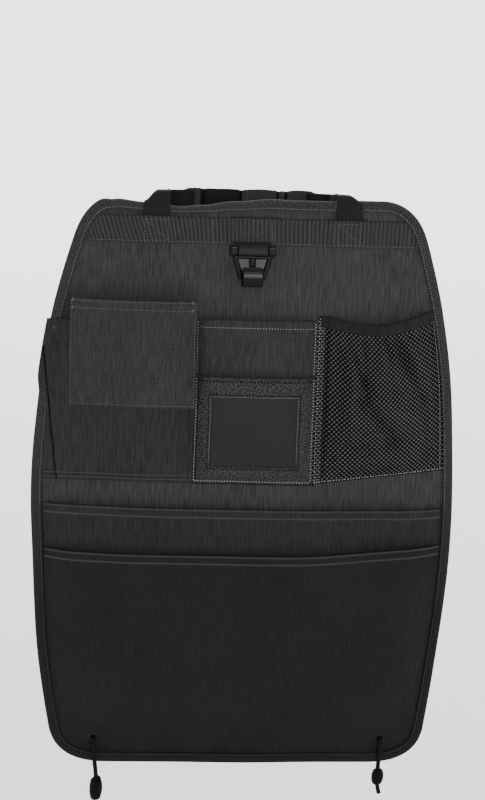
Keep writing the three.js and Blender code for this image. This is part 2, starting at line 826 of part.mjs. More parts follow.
function hookLip() {
  const geometry = new THREE.ExtrudeGeometry(lipProfile(), {
    depth: HOOK_LIP_WIDTH - 1.2,
    bevelEnabled: true,
    bevelSize: 0.5,
    bevelThickness: 0.6,
    bevelOffset: -0.5,
    bevelSegments: 1,
    curveSegments: 9,
  });
  const turn = new THREE.Matrix4().makeBasis(
    new THREE.Vector3(0, -1, 0),
    new THREE.Vector3(0, 0, 1),
    new THREE.Vector3(-1, 0, 0),
  );
  geometry.applyMatrix4(turn);
  geometry.translate(HOOK_LIP_WIDTH / 2 - 0.6, PANEL_BACK, 0);
  return toSolid(geometry);
}

function lipCorner(side) {
  const tip = BAR_Z - HOOK_BEND_DROP + HOOK_LIP_RISE + 2;
  const edge = HOOK_LIP_WIDTH / 2 + 1;
  const radius = 5;
  const shape = new THREE.Shape();
  shape.moveTo(side * edge, tip);
  shape.lineTo(side * edge, tip - radius - 1.5);
  shape.quadraticCurveTo(side * (edge - 1), tip - 2.2, side * (edge - radius), tip - 1.6);
  shape.lineTo(side * (edge - radius), tip);
  shape.closePath();
  const from = HOOK_BACK + HOOK_LIP_THICKNESS + HOOK_BEND;
  return extrudedPlate(shape, from, from + HOOK_BEND + 2 * HOOK_LIP_THICKNESS);
}

function hook() {
  const half = HOOK_WIDTH / 2;
  const front = HOOK_BACK + HOOK_PLATE;
  const webFront = HOOK_BACK + HOOK_WEB;
  const shoulder = BAR_Z + HOOK_SHOULDER;
  const low = BAR_Z - HOOK_BEND_DROP + 2;
  const passage = TAB_WIDTH / 2 + 0.6;
  const passageFoot = BAR_Z - TAB_BEND - TAB_THICKNESS / 2 - 0.6;
  const plate = extrudedPlate(hookPlateShape(half, shoulder, low, 3.5), HOOK_BACK, front);
  const slot = extrudedPlate(rectangle(-passage, passage, passageFoot, shoulder + 1), 0, 2 * front);
  const recess = recessShape(BAR_Z - HOOK_TAPER + 3, passageFoot - 1.6);
  const hinge = [0, webFront - PANEL_BACK, 1.6 - passageFoot];
  const hollow = extrudedPlate(recess, webFront, front + 3)
    .translate(hinge)
    .rotate([HOOK_WEB_LEAN, 0, 0])
    .translate(hinge.map((value) => -value));
  const ribFoot = passageFoot - 1.6 - 11;
  const rib = extrudedPlate(rectangle(-HOOK_RIB / 2, HOOK_RIB / 2, ribFoot, passageFoot - 1), HOOK_BACK, front - 0.8);
  const bar = barPiece(HOOK_BAR_DIAMETER / 2, -passage - 1, passage + 1, 20);
  const ends = barPiece(HOOK_SHOULDER, passage, half, 20).add(barPiece(HOOK_SHOULDER, -half, -passage, 20));
  const lip = hookLip().subtract(lipCorner(1)).subtract(lipCorner(-1));
  const swing = barPiece(BAR_DEPTH - PANEL_THICKNESS - HOOK_SWING_CLEARANCE, -half - 1, half + 1, 24);
  const above = extrudedPlate(rectangle(-half - 1, half + 1, BAR_Z, shoulder + 1), 0, 2 * front).subtract(swing);
  const whole = plate.subtract(slot).subtract(hollow).add(rib).add(bar).add(ends).subtract(above).add(lip);
  return fromSolid(whole);
}

// Pocket pieces

function pleatedPocket() {
  const pocket = PLEATED;
  const columnsAt = (z) => {
    const plain = pocketColumns(pocket, 4)(z);
    const pleatRight = pocket.rightSeam(z) - PLEAT;
    const pleatLeft = pocket.leftSeam(z) + PLEAT;
    const folds = [pleatLeft - 0.7, pleatLeft, pleatRight, pleatRight + 0.7];
    return [...plain, ...folds].sort((a, b) => a - b);
  };
  return layCloth({ rows: pocketRows(pocket, 4), columnsAt, depth: pleatedDepth, thickness: hemmed(pocket) });
}

function patchPocket() {
  const rows = pocketRows(PATCH, 2);
  return layCloth({ rows, columnsAt: pocketColumns(PATCH, 3), depth: patchDepth, thickness: hemmed(PATCH) });
}

function centrePocket() {
  const rows = [...pocketRows(WINDOW, 4).slice(0, -2), ...steps(WINDOW.top, CENTRE.top - ROW_HEM, 2), CENTRE.top];
  return layCloth({ rows, columnsAt: pocketColumns(CENTRE, 4), depth: centreDepth, thickness: () => CLOTH });
}

function windowLines() {
  const left = CENTRE_LEFT + WINDOW_FRAME_SIDE;
  const right = CENTRE_RIGHT - WINDOW_FRAME_SIDE;
  const foot = ROW_FOOT + WINDOW_FRAME_FOOT;
  const top = WINDOW.top - WINDOW_FRAME_TOP;
  const across = steps(WINDOW.leftSeam() + WINDOW.run, WINDOW.rightSeam() - WINDOW.run, 3);
  const up = steps(WINDOW.footSeam + WINDOW.run, top, 2);
  return { left, right, foot, top, across, up };
}

function windowFrame() {
  const { left, right, foot, top, across, up } = windowLines();
  const knots = SEAM_KNOTS.slice(0, -1).map((share) => share * WINDOW.run);
  const columnList = [
    CENTRE_LEFT,
    ...knots.map((offset) => WINDOW.leftSeam() + offset),
    left,
    ...across,
    right,
    ...knots.map((offset) => WINDOW.rightSeam() - offset).reverse(),
    CENTRE_RIGHT,
  ];
  const rowList = [
    WINDOW.foot,
    ...knots.map((offset) => WINDOW.footSeam + offset),
    foot,
    ...up,
    WINDOW.top - 8,
    WINDOW.top,
  ];
  const isOpen = (r, c) => {
    const z = (rowList[r] + rowList[r + 1]) / 2;
    const x = (columnList[c] + columnList[c + 1]) / 2;
    return x > left && x < right && z > foot && z < top;
  };
  return layCloth({
    rows: rowList,
    columnsAt: () => columnList,
    depth: frameDepth,
    thickness: () => CLOTH,
    isOpen,
  });
}

function clearWindow() {
  const { left, right, foot, top, across, up } = windowLines();
  const rows = [foot - WINDOW_TUCK, foot, ...up, top + WINDOW_TUCK];
  const columns = [left - WINDOW_TUCK, left, ...across, right, right + WINDOW_TUCK];
  const depth = (x, z) => frameDepth(x, z) - WINDOW_PANE - GAP;
  const thickness = () => WINDOW_PANE;
  return layCloth({ rows, columnsAt: () => columns, depth, thickness });
}

// Mesh pocket: staggered openings in a wall that bellies out below its elastic hem

const MESH_LEFT = CENTRE_RIGHT + GAP + 0.4;
const MESH_FOOT = ROW_FOOT;
const MESH_TOP = PANEL_TOP - MESH_HEM_DROP;

function meshTop(share) {
  return MESH_TOP + MESH_HEM_RISE * share ** 3 - MESH_HEM_SAG * Math.sin(Math.PI * share);
}

function meshDepthAt(share, height) {
  const across = Math.sin(Math.PI * share) ** 0.7;
  const upright = interpolate([[0, 0], [0.08, 0.45], [0.25, 0.85], [0.5, 1], [0.8, 0.86], [1, 0.55]], height);
  const gather = MESH_GATHER * height * height * Math.sin(share * Math.PI * 12) * Math.sin(Math.PI * share);
  return FACE + MESH_BULGE * across * upright + gather;
}

function meshColumns(z) {
  const inner = MESH_LEFT + MESH_FLANGE;
  const outer = boundHalf(z) - 4;
  return { inner, outer, edge: sewnHalf(z) };
}

function meshPoint(column, height, extra) {
  const guess = MESH_FOOT + height * (MESH_TOP - MESH_FOOT);
  const { inner, outer, edge } = meshColumns(guess);
  if (column === 0) return place(MESH_LEFT, FACE + extra, guess).setZ(MESH_FOOT + height * (meshTop(0) - MESH_FOOT));
  const share = THREE.MathUtils.clamp((column - 1) / MESH_COLUMNS, 0, 1);
  const x = column > MESH_COLUMNS + 1 ? edge : inner + share * (outer - inner);
  const z = MESH_FOOT + height * (meshTop(share) - MESH_FOOT);
  const depth = column > MESH_COLUMNS + 1 ? FACE : meshDepthAt(share, height);
  return place(x, depth + extra, z);
}

function meshHeights() {
  const open = 8;
  const strand = 4;
  const total = MESH_ROWS * open + (MESH_ROWS + 1) * strand + MESH_HEM_HEIGHT;
  const heights = [0];
  for (let i = 0; i < MESH_ROWS; i += 1) {
    heights.push(heights[heights.length - 1] + strand / total);
    heights.push(heights[heights.length - 1] + open / total);
  }
  heights.push(heights[heights.length - 1] + strand / total);
  heights.push(1);
  return heights;
}

function meshWall() {
  const heights = meshHeights();
  const columns = Array.from({ length: MESH_COLUMNS + 3 }, (_, i) => i);
  const back = heights.map((height) => columns.map((column) => meshPoint(column, height, 0)));
  const front = heights.map((height) => columns.map((column) => meshPoint(column, height, CLOTH)));
  const isOpen = (r, c) => {
    const inside = c > 1 && c < MESH_COLUMNS && r < heights.length - 3;
    const turn = (r - 1) / 2;
    return inside && r % 2 === 1 && (c + turn) % 2 === 0;
  };
  return closedSheet(back, front, isOpen);
}

function meshHem() {
  const count = MESH_COLUMNS * 2;
  const rings = [];
  for (let i = 0; i <= count + 1; i += 1) {
    const column = i === 0 ? 0.55 : 1 + (i - 1) / 2;
    const at = (height, extra) => {
      const low = meshPoint(Math.floor(column), height, extra);
      const high = meshPoint(Math.ceil(column), height, extra);
      return low.lerp(high, column - Math.floor(column));
    };
    const foot = 1 - MESH_HEM_HEIGHT / (MESH_TOP - MESH_FOOT);
    const outer = CLOTH + GAP + MESH_HEM_THICKNESS;
    const raise = (point, by) => point.setZ(point.z + by);
    rings.push([
      at(foot, outer),
      raise(at(1, outer), GAP + MESH_HEM_THICKNESS),
      raise(at(1, -GAP), GAP + MESH_HEM_THICKNESS),
      raise(at(1, -GAP), GAP),
      raise(at(1, CLOTH + GAP), GAP),
      at(foot, CLOTH + GAP),
    ]);
  }
  return sweptRings(rings, [0, 1, 4, 0, 4, 5, 1, 2, 3, 1, 3, 4]);
}

// Long pocket and main pocket, right across the panel

function longPocket() {
  const rows = pocketRows(LONG, 3);
  const sheet = layCloth({
    rows,
    columnsAt: pocketColumns(LONG, 8),
    depth: longDepth,
    thickness: hemmed(LONG),
    shift: hemSag,
  });
  return fromSolid(toSolid(sheet).subtract(eyeletHole(1)).subtract(eyeletHole(-1)));
}

function mainPocket() {
  const rows = pocketRows(MAIN, 3);
  const sheet = layCloth({
    rows,
    columnsAt: pocketColumns(MAIN, 8),
    depth: mainDepth,
    thickness: hemmed(MAIN),
    shift: hemSag,
  });
  return fromSolid(toSolid(sheet).subtract(eyeletHole(1)).subtract(eyeletHole(-1)));
}

// Eyelets: a barrel with a rolled rim in front, and a washer that it is set in behind

const EYELET_X = FOOT_HALF - EYELET_INSET;
const EYELET_Z = PANEL_BOTTOM + EYELET_RISE;
const STACK = FACE + 2 * LAYER;
const BARREL = EYELET_BORE / 2 + EYELET_WALL;

function eyeletPlace(side) {
  return place(side * EYELET_X, 0, EYELET_Z);
}

function eyeletHole(side) {
  const radius = BARREL + GAP;
  const geometry = new THREE.CylinderGeometry(radius, radius, 60, 12);
  const at = eyeletPlace(side);
  geometry.translate(at.x, at.y, at.z);
  return toSolid(geometry);
}

function lathed(profile, segments, side) {
  const points = [...profile, profile[0]].map(([radius, depth]) => new THREE.Vector2(radius, -depth));
  const geometry = new THREE.LatheGeometry(points, segments);
  const at = eyeletPlace(side);
  geometry.translate(at.x, at.y, at.z);
  return geometry;
}

function eyelet(side) {
  const bore = EYELET_BORE / 2;
  const slope = 0.5;
  const rimBack = STACK + slope;
  const rimTop = rimBack + EYELET_ROLL;
  const flange = EYELET_FLANGE / 2;
  const profile = [
    [bore, -GAP - 1.6],
    [BARREL, -GAP - 1.6],
    [BARREL, rimBack],
    [flange - 0.3, rimBack],
    [flange, rimBack + 0.5],
    [flange - 0.6, rimTop],
    [flange - 1.4, rimTop + 0.1],
    [bore + 0.5, rimTop - 0.5],
    [bore, rimBack - 0.4],
  ];
  return lathed(profile, 18, side);
}

function eyeletWasher(side) {
  const inner = BARREL + GAP;
  const outer = EYELET_FLANGE / 2;
  const near = -GAP - 0.5;
  const profile = [
    [inner, near],
    [outer, near],
    [outer - 0.4, near - 0.7],
    [inner, near - 0.9],
  ];
  return lathed(profile, 18, side);
}

// Elastic cord: a span behind the panel, and an end hanging from each eyelet with a knot in it

function cordTube(points, segments) {
  const path = new THREE.CatmullRomCurve3(points, false, "centripetal");
  const section = new THREE.Shape();
  section.absarc(0, 0, CORD_DIAMETER / 2, 0, 2 * Math.PI, false);
  return new THREE.ExtrudeGeometry(section, {
    steps: segments,
    extrudePath: path,
    curveSegments: 4,
    bevelEnabled: false,
  });
}

const LEFT_KNOT = { drop: 47, length: 26, width: 12, lean: 4 };
const RIGHT_KNOT = { drop: 36, length: 19, width: 11.5, lean: -1 };

function cordEnd(side, knot) {
  const at = eyeletPlace(side);
  const out = (depth, dx, dz) => new THREE.Vector3(at.x + dx, at.y - depth, at.z + dz);
  const rim = STACK + 0.5 + EYELET_ROLL;
  const points = [
    out(2, 0, 0),
    out(rim, 0, 0),
    out(rim + 3.2, 0, -1.2),
    out(rim + 3.6, 0.3, -6),
    out(rim + 2.6, knot.lean * 0.4, -knot.drop * 0.5),
    out(rim + 2.2, knot.lean * 0.8, -knot.drop * 0.8),
    out(rim + 2.2, knot.lean, -knot.drop + GAP),
  ];
  return cordTube(points, 14);
}

function cordSpan() {
  const left = eyeletPlace(-1);
  const right = eyeletPlace(1);
  const behind = 2.6 + CORD_DIAMETER / 2;
  const points = [
    new THREE.Vector3(left.x, left.y - 1.4, left.z),
    new THREE.Vector3(left.x, left.y + 2.2, left.z),
    new THREE.Vector3(left.x + 3, left.y + behind + 1, left.z - 0.4),
    new THREE.Vector3(left.x + 14, left.y + behind + 0.6, left.z - 1.5),
    new THREE.Vector3(left.x / 2, left.y + behind, left.z - 5),
    new THREE.Vector3(0, left.y + behind - 1, left.z - 6.5),
    new THREE.Vector3(right.x / 2, right.y + behind, right.z - 5),
    new THREE.Vector3(right.x - 14, right.y + behind + 0.6, right.z - 1.5),
    new THREE.Vector3(right.x - 3, right.y + behind + 1, right.z - 0.4),
    new THREE.Vector3(right.x, right.y + 2.2, right.z),
    new THREE.Vector3(right.x, right.y - 1.4, right.z),
  ];
  return cordTube(points, 48);
}

function knotSolid(side, knot) {
  const at = eyeletPlace(side);
  const rim = STACK + 0.5 + EYELET_ROLL;
  const geometry = new THREE.SphereGeometry(0.5, 12, 8);
  geometry.rotateX(Math.PI / 2);
  geometry.scale(knot.width, knot.width * 0.8, knot.length);
  geometry.translate(at.x + knot.lean, at.y - rim - 2.2, at.z - knot.drop - knot.length / 2);
  return geometry;
}

function knotTail() {
  const at = eyeletPlace(1);
  const rim = STACK + 0.5 + EYELET_ROLL;
  const foot = RIGHT_KNOT.drop + RIGHT_KNOT.length;
  const point = (dx, drop) => new THREE.Vector3(at.x + dx, at.y - rim - 2.2, at.z - foot - drop);
  return cordTube([point(-0.8, GAP), point(0, 5), point(1.6, 10)], 3);
}

// The assembly

add("back_panel", fromSolid(toSolid(backPanel()).subtract(eyeletHole(1)).subtract(eyeletHole(-1))), PANEL_CLOTH);
add("edge_binding", edgeBinding(), TAPE);
add("top_facing", topFacing(), SMOOTH_CLOTH);
add("ribbed_band", ribbedBand(), PANEL_CLOTH);
add("strap_left", strap(-1), WEBBING);
add("strap_right", strap(1), WEBBING);
add("headrest_elastic", headrestElastic(), TAPE);
add("hook_tab", hookTab(), TAPE);
add("hook", hook(), PLASTIC);
add("pleated_pocket", pleatedPocket(), PANEL_CLOTH);
add("patch_pocket", patchPocket(), SMOOTH_CLOTH);
add("centre_pocket", centrePocket(), SMOOTH_CLOTH);
add("window_frame", windowFrame(), TAPE);
add("clear_window", clearWindow(), CLEAR_SHEET);
add("mesh_wall", meshWall(), MESH_CLOTH);
add("mesh_hem", meshHem(), TAPE);
add("long_pocket", longPocket(), PANEL_CLOTH);
add("main_pocket", mainPocket(), DARK_CLOTH);
for (const [name, side] of [["left", -1], ["right", 1]]) {
  add(`eyelet_${name}`, eyelet(side), PAINTED_METAL);
  add(`washer_${name}`, eyeletWasher(side), PAINTED_METAL);
}
add("cord_span", cordSpan(), CORD);
add("cord_left", cordEnd(-1, LEFT_KNOT), CORD);
add("cord_right", cordEnd(1, RIGHT_KNOT), CORD);
add("knot_left", knotSolid(-1, LEFT_KNOT), CORD);
add("knot_right", knotSolid(1, RIGHT_KNOT), CORD);
add("knot_tail", knotTail(), CORD);

export default organizer;
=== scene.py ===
# %% [markdown]
# # A car seat back organizer
# The real thing is a dark cloth panel that hangs behind a front seat from the posts of its headrest.
# Almost all of it is cloth, so nearly every piece here starts as a flat grid that is then laid on the
# organizer, as a maker lays cut cloth on a table. The solids of the organizer are loaded first: they give
# the places and sizes, and each soft piece is built round them.

# %% Load the measured solids
import math

import bmesh
import bpy
from mathutils import Matrix, Vector, noise


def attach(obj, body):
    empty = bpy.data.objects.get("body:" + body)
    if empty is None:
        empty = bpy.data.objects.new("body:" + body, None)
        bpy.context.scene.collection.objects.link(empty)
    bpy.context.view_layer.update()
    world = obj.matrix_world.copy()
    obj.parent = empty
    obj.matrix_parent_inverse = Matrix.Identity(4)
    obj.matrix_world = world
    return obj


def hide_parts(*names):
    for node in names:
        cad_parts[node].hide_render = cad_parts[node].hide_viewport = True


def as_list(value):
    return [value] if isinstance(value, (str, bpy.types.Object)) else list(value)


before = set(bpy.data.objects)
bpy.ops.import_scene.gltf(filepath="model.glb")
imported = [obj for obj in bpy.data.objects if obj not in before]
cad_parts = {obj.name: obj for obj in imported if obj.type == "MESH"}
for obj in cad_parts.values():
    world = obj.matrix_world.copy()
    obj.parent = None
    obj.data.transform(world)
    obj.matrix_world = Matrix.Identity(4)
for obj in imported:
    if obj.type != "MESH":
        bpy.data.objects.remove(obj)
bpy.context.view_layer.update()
MM = 0.001
print("solids loaded:", len(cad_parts))

# %% [markdown]
# ## The camera
# The photograph was taken from a little above the middle of the panel and from slightly to its left,
# with the camera tilted by almost two degrees. It is moved back from the point it aims at, tilted, raised
# and swung round, in that order, which a product of matrices reads from right to left.

# %% Place the camera
AIM = Vector((-4.9, -38.2, -212)) * MM
CAMERA_SWING, CAMERA_RISE, CAMERA_TILT = math.radians(-4.6), math.radians(9.3), math.radians(1.87)
CAMERA_AWAY, FOCAL_LENGTH, SENSOR = 1.8, 73.64, 36

lens = bpy.data.cameras.new("camera")
lens.lens, lens.sensor_width = FOCAL_LENGTH, SENSOR
lens.clip_start, lens.clip_end = 0.05, 60
camera = bpy.data.objects.new("camera", lens)
swing, tilt = Matrix.Rotation(CAMERA_SWING, 4, "Z"), Matrix.Rotation(CAMERA_TILT, 4, "Z")
raise_up = Matrix.Rotation(math.pi / 2 - CAMERA_RISE, 4, "X")
camera.matrix_world = Matrix.Translation(AIM) @ swing @ raise_up @ tilt @ Matrix.Translation((0, 0, CAMERA_AWAY))
bpy.context.scene.collection.objects.link(camera)
bpy.context.scene.camera = camera
print("camera at", [round(value, 3) for value in camera.location])

# %% [markdown]
# ## Where things lie on the hung panel
# A hung panel isn't flat: its sides and its top edge fall back round the seat. Depths are measured out
# from the back of the panel, in millimetres, so that layers can be stacked as they are sewn.

# %% The lie of the panel and its outline
TOP, FOOT, BACK = 7, -624, -46
HALF, SHOULDER_HALF, TOP_HALF, FOOT_HALF, BOTTOM_HALF = 232, 190, 140, 211, 150
SIDES = ((-1, "left"), (1, "right"))


FLAT_HALF, FALL_RUN, ROLL_RUN = 12, 220, 24


def fall(x, z):
    """How far the panel falls back, towards its sides and round its top edge."""
    out = max(0.0, abs(x) - FLAT_HALF) / FALL_RUN
    roll = max(0.0, (z - TOP + ROLL_RUN) / ROLL_RUN)
    return 10 * out * out + 5 * roll * roll


# The top edge isn't straight: pairs of a place across and how far the edge lies below its pattern there.
CROWN = [(-235, 0), (-166, 0), (-150, -4.5), (-115, -8), (-78, -11.5), (-57, -9.5), (-20, -4.5), (20, -1),
         (47, -1.7), (91, -1.6), (118, 0), (235, 0)]


def sway(x, z):
    """How far hanging cloth strays from its pattern, to the right and upwards."""
    free = min(1.0, math.hypot(x, z + 40) / 160) ** 2
    right_by = 1.6 * noise.noise(Vector((x / 160, z / 110, 71))) * free
    up_by = 1.6 * noise.noise(Vector((x / 120, z / 150, 72))) * free
    top = clamp((z + 13) / 20)
    for (a, p), (b, q) in zip(CROWN, CROWN[1:]):
        if a <= x < b:
            up_by += top * (p + (q - p) * smooth((x - a) / (b - a)))
    return right_by, up_by


def spot(x, depth, z, loose=1.0):
    """The point that lies depth in front of the panel's back, at x and z on the pattern."""
    right_by, up_by = sway(x, z)
    return Vector((x + right_by * loose, BACK + fall(x, z) - depth, z + up_by * loose))


def bend(start, middle, end, count):
    points = []
    for i in range(count):
        t = i / count
        points.append(tuple(
            a * (1 - t) ** 2 + 2 * b * t * (1 - t) + c * t * t for a, b, c in zip(start, middle, end)))
    return points


SIDE = [
    *bend((BOTTOM_HALF, FOOT), (FOOT_HALF - 4, FOOT), (FOOT_HALF, FOOT + 43), 22),
    *bend((FOOT_HALF, FOOT + 43), (HALF, -453), (HALF, -325), 30),
    *bend((HALF, -325), (HALF - 1, -160), (SHOULDER_HALF, -35), 34),
    *bend((SHOULDER_HALF, -35), (SHOULDER_HALF - 14, TOP), (TOP_HALF, TOP), 22),
    (TOP_HALF, TOP),
]


def between(table, value):
    """Reads a table of (key, result) pairs, in straight lines from pair to pair."""
    if value <= table[0][0]:
        return table[0][1]
    for (a, p), (b, q) in zip(table, table[1:]):
        if value <= b:
            return p + (q - p) * (value - a) / (b - a)
    return table[-1][1]


SIDE_BY_HEIGHT = [(z, x) for x, z in SIDE]
SEW_IN, BINDING_WIDTH = 2.5, 9


def half_width(z):
    return between(SIDE_BY_HEIGHT, z)


def sewn_half(z):
    return half_width(clamp(z, FOOT + SEW_IN, TOP - SEW_IN)) - SEW_IN


def bound_half(z):
    return sewn_half(z) - (BINDING_WIDTH - SEW_IN)


def ripple(x, z, width, height, seed):
    """Soft waves in cloth, at most about 1 high, of the given width and height in millimetres."""
    return noise.noise(Vector((x / width, z / height, seed)))


def clamp(value, low=0.0, high=1.0):
    return min(max(value, low), high)


def smooth(value):
    t = clamp(value)
    return t * t * (3 - 2 * t)


print("outline points:", len(SIDE), "widest:", 2 * HALF)

# %% [markdown]
# ## Laying cloth
# Blender's grid operator makes the flat cloth. Each point knows how far across and how far up it is, and a
# rule says where that point lies. The cloth keeps its flat size as its UV map, in millimetres, so the weave
# later follows it round every fold. The Solidify modifier gives the sheet its thickness.

# %% Lay a grid, and finish a piece
def flat_grid(across, up):
    cloth = bmesh.new()
    bmesh.ops.create_grid(cloth, x_segments=across, y_segments=up, size=1)
    cloth.loops.layers.uv.new("cloth")
    return cloth


def lay(cloth, place, flat=None, join=False):
    """Puts each point of a flat grid where place(across, up) says, both from 0 to 1."""
    shares = {vert: ((vert.co.x + 1) / 2, (vert.co.y + 1) / 2) for vert in cloth.verts}
    placed = {vert: place(*share) for vert, share in shares.items()}
    layer = cloth.loops.layers.uv.active
    for face in cloth.faces:
        for loop in face.loops:
            point = placed[loop.vert]
            loop[layer].uv = flat(*shares[loop.vert]) if flat else (point.x, point.z)
    for vert, point in placed.items():
        vert.co = point * MM
    if join:
        bmesh.ops.remove_doubles(cloth, verts=cloth.verts, dist=1e-6)
    return cloth


def piece_of(cloth, name, finish, slot, nodes=(), thickness=0.0, body="organizer", offset=-1.0):
    """Makes a bmesh a finished piece that rides on its body and stands for its solids."""
    data = bpy.data.meshes.new(name)
    cloth.to_mesh(data)
    cloth.free()
    data.materials.append(finish)
    data.polygons.foreach_set("use_smooth", [True] * len(data.polygons))
    piece = bpy.data.objects.new(name, data)
    bpy.context.scene.collection.objects.link(piece)
    if thickness:
        wall = piece.modifiers.new("thickness", "SOLIDIFY")
        wall.thickness, wall.offset = thickness * MM, offset
    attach(piece, body)
    if nodes:
        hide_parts(*nodes)
    print(f"{name}: {len(data.polygons)} faces")
    return piece


def second_finish(piece, finish, where):
    """Gives another finish to the faces whose x and z, in millimetres, pass the test."""
    piece.data.materials.append(finish)
    for face in piece.data.polygons:
        face.material_index = int(where(face.center.x / MM, face.center.z / MM))


def marks_along(points):
    """How far along a line each of its points is."""
    marks = [0.0]
    for a, b in zip(points, points[1:]):
        marks.append(marks[-1] + (b - a).length)
    return marks


def sweep(name, path, radius, finish, slot, steps=12, **rest):
    """Carries a round section along a path of points."""
    turns = []
    side = Vector((1, 0.13, 0.07))
    for i, point in enumerate(path):
        along = (path[min(i + 1, len(path) - 1)] - path[max(i - 1, 0)]).normalized()
        side = (side - along * side.dot(along)).normalized()
        turns.append((point, side.copy(), along.cross(side)))
    length = marks_along(path)
    cloth = flat_grid(steps, len(path) - 1)

    def place(u, v):
        point, a, b = turns[round(v * (len(path) - 1))]
        angle = -2 * math.pi * u
        return point + a * radius * math.cos(angle) + b * radius * math.sin(angle)

    def flat(u, v):
        return (u * 2 * math.pi * radius, length[round(v * (len(path) - 1))])

    lay(cloth, place, flat, join=True)
    bmesh.ops.holes_fill(cloth, edges=[e for e in cloth.edges if e.is_boundary], sides=0)
    bmesh.ops.recalc_face_normals(cloth, faces=cloth.faces)
    return piece_of(cloth, name, finish, slot, **rest)


def through(points, count):
    """A smooth path of count steps through the given points."""
    ends = [points[0] * 2 - points[1], *points, points[-1] * 2 - points[-2]]
    path = []
    for i in range(count + 1):
        where = i / count * (len(points) - 1)
        k = min(int(where), len(points) - 2)
        t = where - k
        a, b, c, d = ends[k:k + 4]
        path.append((b * 2 + (c - a) * t + (a * 2 - b * 5 + c * 4 - d) * t ** 2
                     + (b * 3 - a - c * 3 + d) * t ** 3) / 2)
    return path


# %% [markdown]
# ## Shader maths as Python
# A finish is a node tree. Writing each Math node by hand hides what it does, so one small class wraps a
# socket and turns Python's arithmetic into nodes, and another holds a material and adds any other node.

# %% A socket with arithmetic, and a finish that holds it
class Value:
    def __init__(self, finish, socket):
        self.finish = finish
        self.socket = socket

    def __add__(self, other):
        return self.finish.maths("ADD", self, other)

    def __sub__(self, other):
        return self.finish.maths("SUBTRACT", self, other)

    def __rsub__(self, other):
        return self.finish.maths("SUBTRACT", other, self)

    def __mul__(self, other):
        return self.finish.maths("MULTIPLY", self, other)

    def __pow__(self, other):
        return self.finish.maths("POWER", self, other)

    def __abs__(self):
        return self.finish.maths("ABSOLUTE", self)

    __radd__ = __add__
    __rmul__ = __mul__


class Finish:
    def __init__(self, name, **sockets):
        self.material = bpy.data.materials.new(name)
        self.material.use_nodes = True
        self.tree = self.material.node_tree
        self.tree.nodes.clear()
        self.shader = self.tree.nodes.new("ShaderNodeBsdfPrincipled")
        output = self.tree.nodes.new("ShaderNodeOutputMaterial")
        self.tree.links.new(self.shader.outputs[0], output.inputs[0])
        for socket, value in sockets.items():
            self.shader.inputs[socket.replace("_", " ")].default_value = value

    def node(self, kind, settings=None, output=0, **sockets):
        made = self.tree.nodes.new(kind)
        for setting, value in (settings or {}).items():
            setattr(made, setting, value)
        for socket, value in sockets.items():
            self.feed(made.inputs[socket.replace("_", " ")], value)
        return Value(self, made.outputs[output])

    def feed(self, socket, value):
        if isinstance(value, Value):
            self.tree.links.new(value.socket, socket)
        else:
            socket.default_value = value

    def maths(self, operation, *values):
        made = self.tree.nodes.new("ShaderNodeMath")
        made.operation = operation
        for socket, value in zip(made.inputs, values):
            self.feed(socket, value)
        return Value(self, made.outputs[0])

    def along(self):
        """The two flat coordinates of the cloth, in millimetres."""
        apart = self.node("ShaderNodeSeparateXYZ", Vector=self.node("ShaderNodeUVMap", {"uv_map": "cloth"}))
        return apart, Value(self, apart.socket.node.outputs[1])

    def ramp(self, axis, start, stop):
        """From 0 to 1 between two places along an axis of the object, in metres."""
        apart = self.node("ShaderNodeSeparateXYZ", Vector=self.node("ShaderNodeTexCoord", output=3))
        share = (abs(Value(self, apart.socket.node.outputs[axis])) - start) * (1 / (stop - start))
        return self.maths("MINIMUM", self.maths("MAXIMUM", share, 0.0), 1.0)

    def joined(self, x, y, z=0.0):
        return self.node("ShaderNodeCombineXYZ", X=x, Y=y, Z=z)

    def wave(self, value, pitch):
        """Ridges of that pitch, from 0 in the grooves to 1 on the crests."""
        return self.maths("SINE", value * (2 * math.pi / pitch)) * 0.5 + 0.5

    def cloud(self, vector, detail=2.0, scale=1.0):
        return self.node("ShaderNodeTexNoise", Vector=vector, Scale=scale, Detail=detail)

    def specks(self, scale, detail=2.0):
        """A cloud over the object's own coordinates, with about so many blots to the metre."""
        return self.cloud(self.node("ShaderNodeTexCoord", output=3), detail, scale)

    def stretched(self, value, gain):
        """The same pattern with more contrast about its middle."""
        return (value - 0.5) * gain + 0.5

    def shade(self, mask, dark, light):
        """A grey between two tones, by a mask from 0 to 1."""
        mixer = self.tree.nodes.new("ShaderNodeMix")
        mixer.data_type = "RGBA"
        self.feed(mixer.inputs[0], mask)
        for socket, tone in ((mixer.inputs[6], dark), (mixer.inputs[7], light)):
            self.feed(socket, tone if isinstance(tone, Value) else (*tone, 1))
        return Value(self, mixer.outputs[2])

    def set(self, socket, value):
        self.feed(self.shader.inputs[socket], value)
        return self

    def relief(self, height, depth):
        """Bumps that are depth millimetres high."""
        bump = self.node("ShaderNodeBump", Height=height, Distance=depth * MM, Strength=1.0)
        return self.set("Normal", bump)

    def dress(self, mask, dark, light, roughness, height, depth):
        """The material, once it has a grey between two tones, a roughness and a relief."""
        self.set("Base Color", self.shade(mask, grey(dark), grey(light))).set("Roughness", roughness)
        return self.relief(height, depth).material


def grey(value):
    return (value, value, value * 1.02)


# %% [markdown]
# ## The elastic cords
# A braided elastic runs through both eyelets and round the seat. In front of each eyelet its end hangs
# down and is tied in a bulky stopper knot. A tube swept along a smooth path makes each stretch. The knot's
# path goes down its middle and then winds back up round itself, widest at half its height.

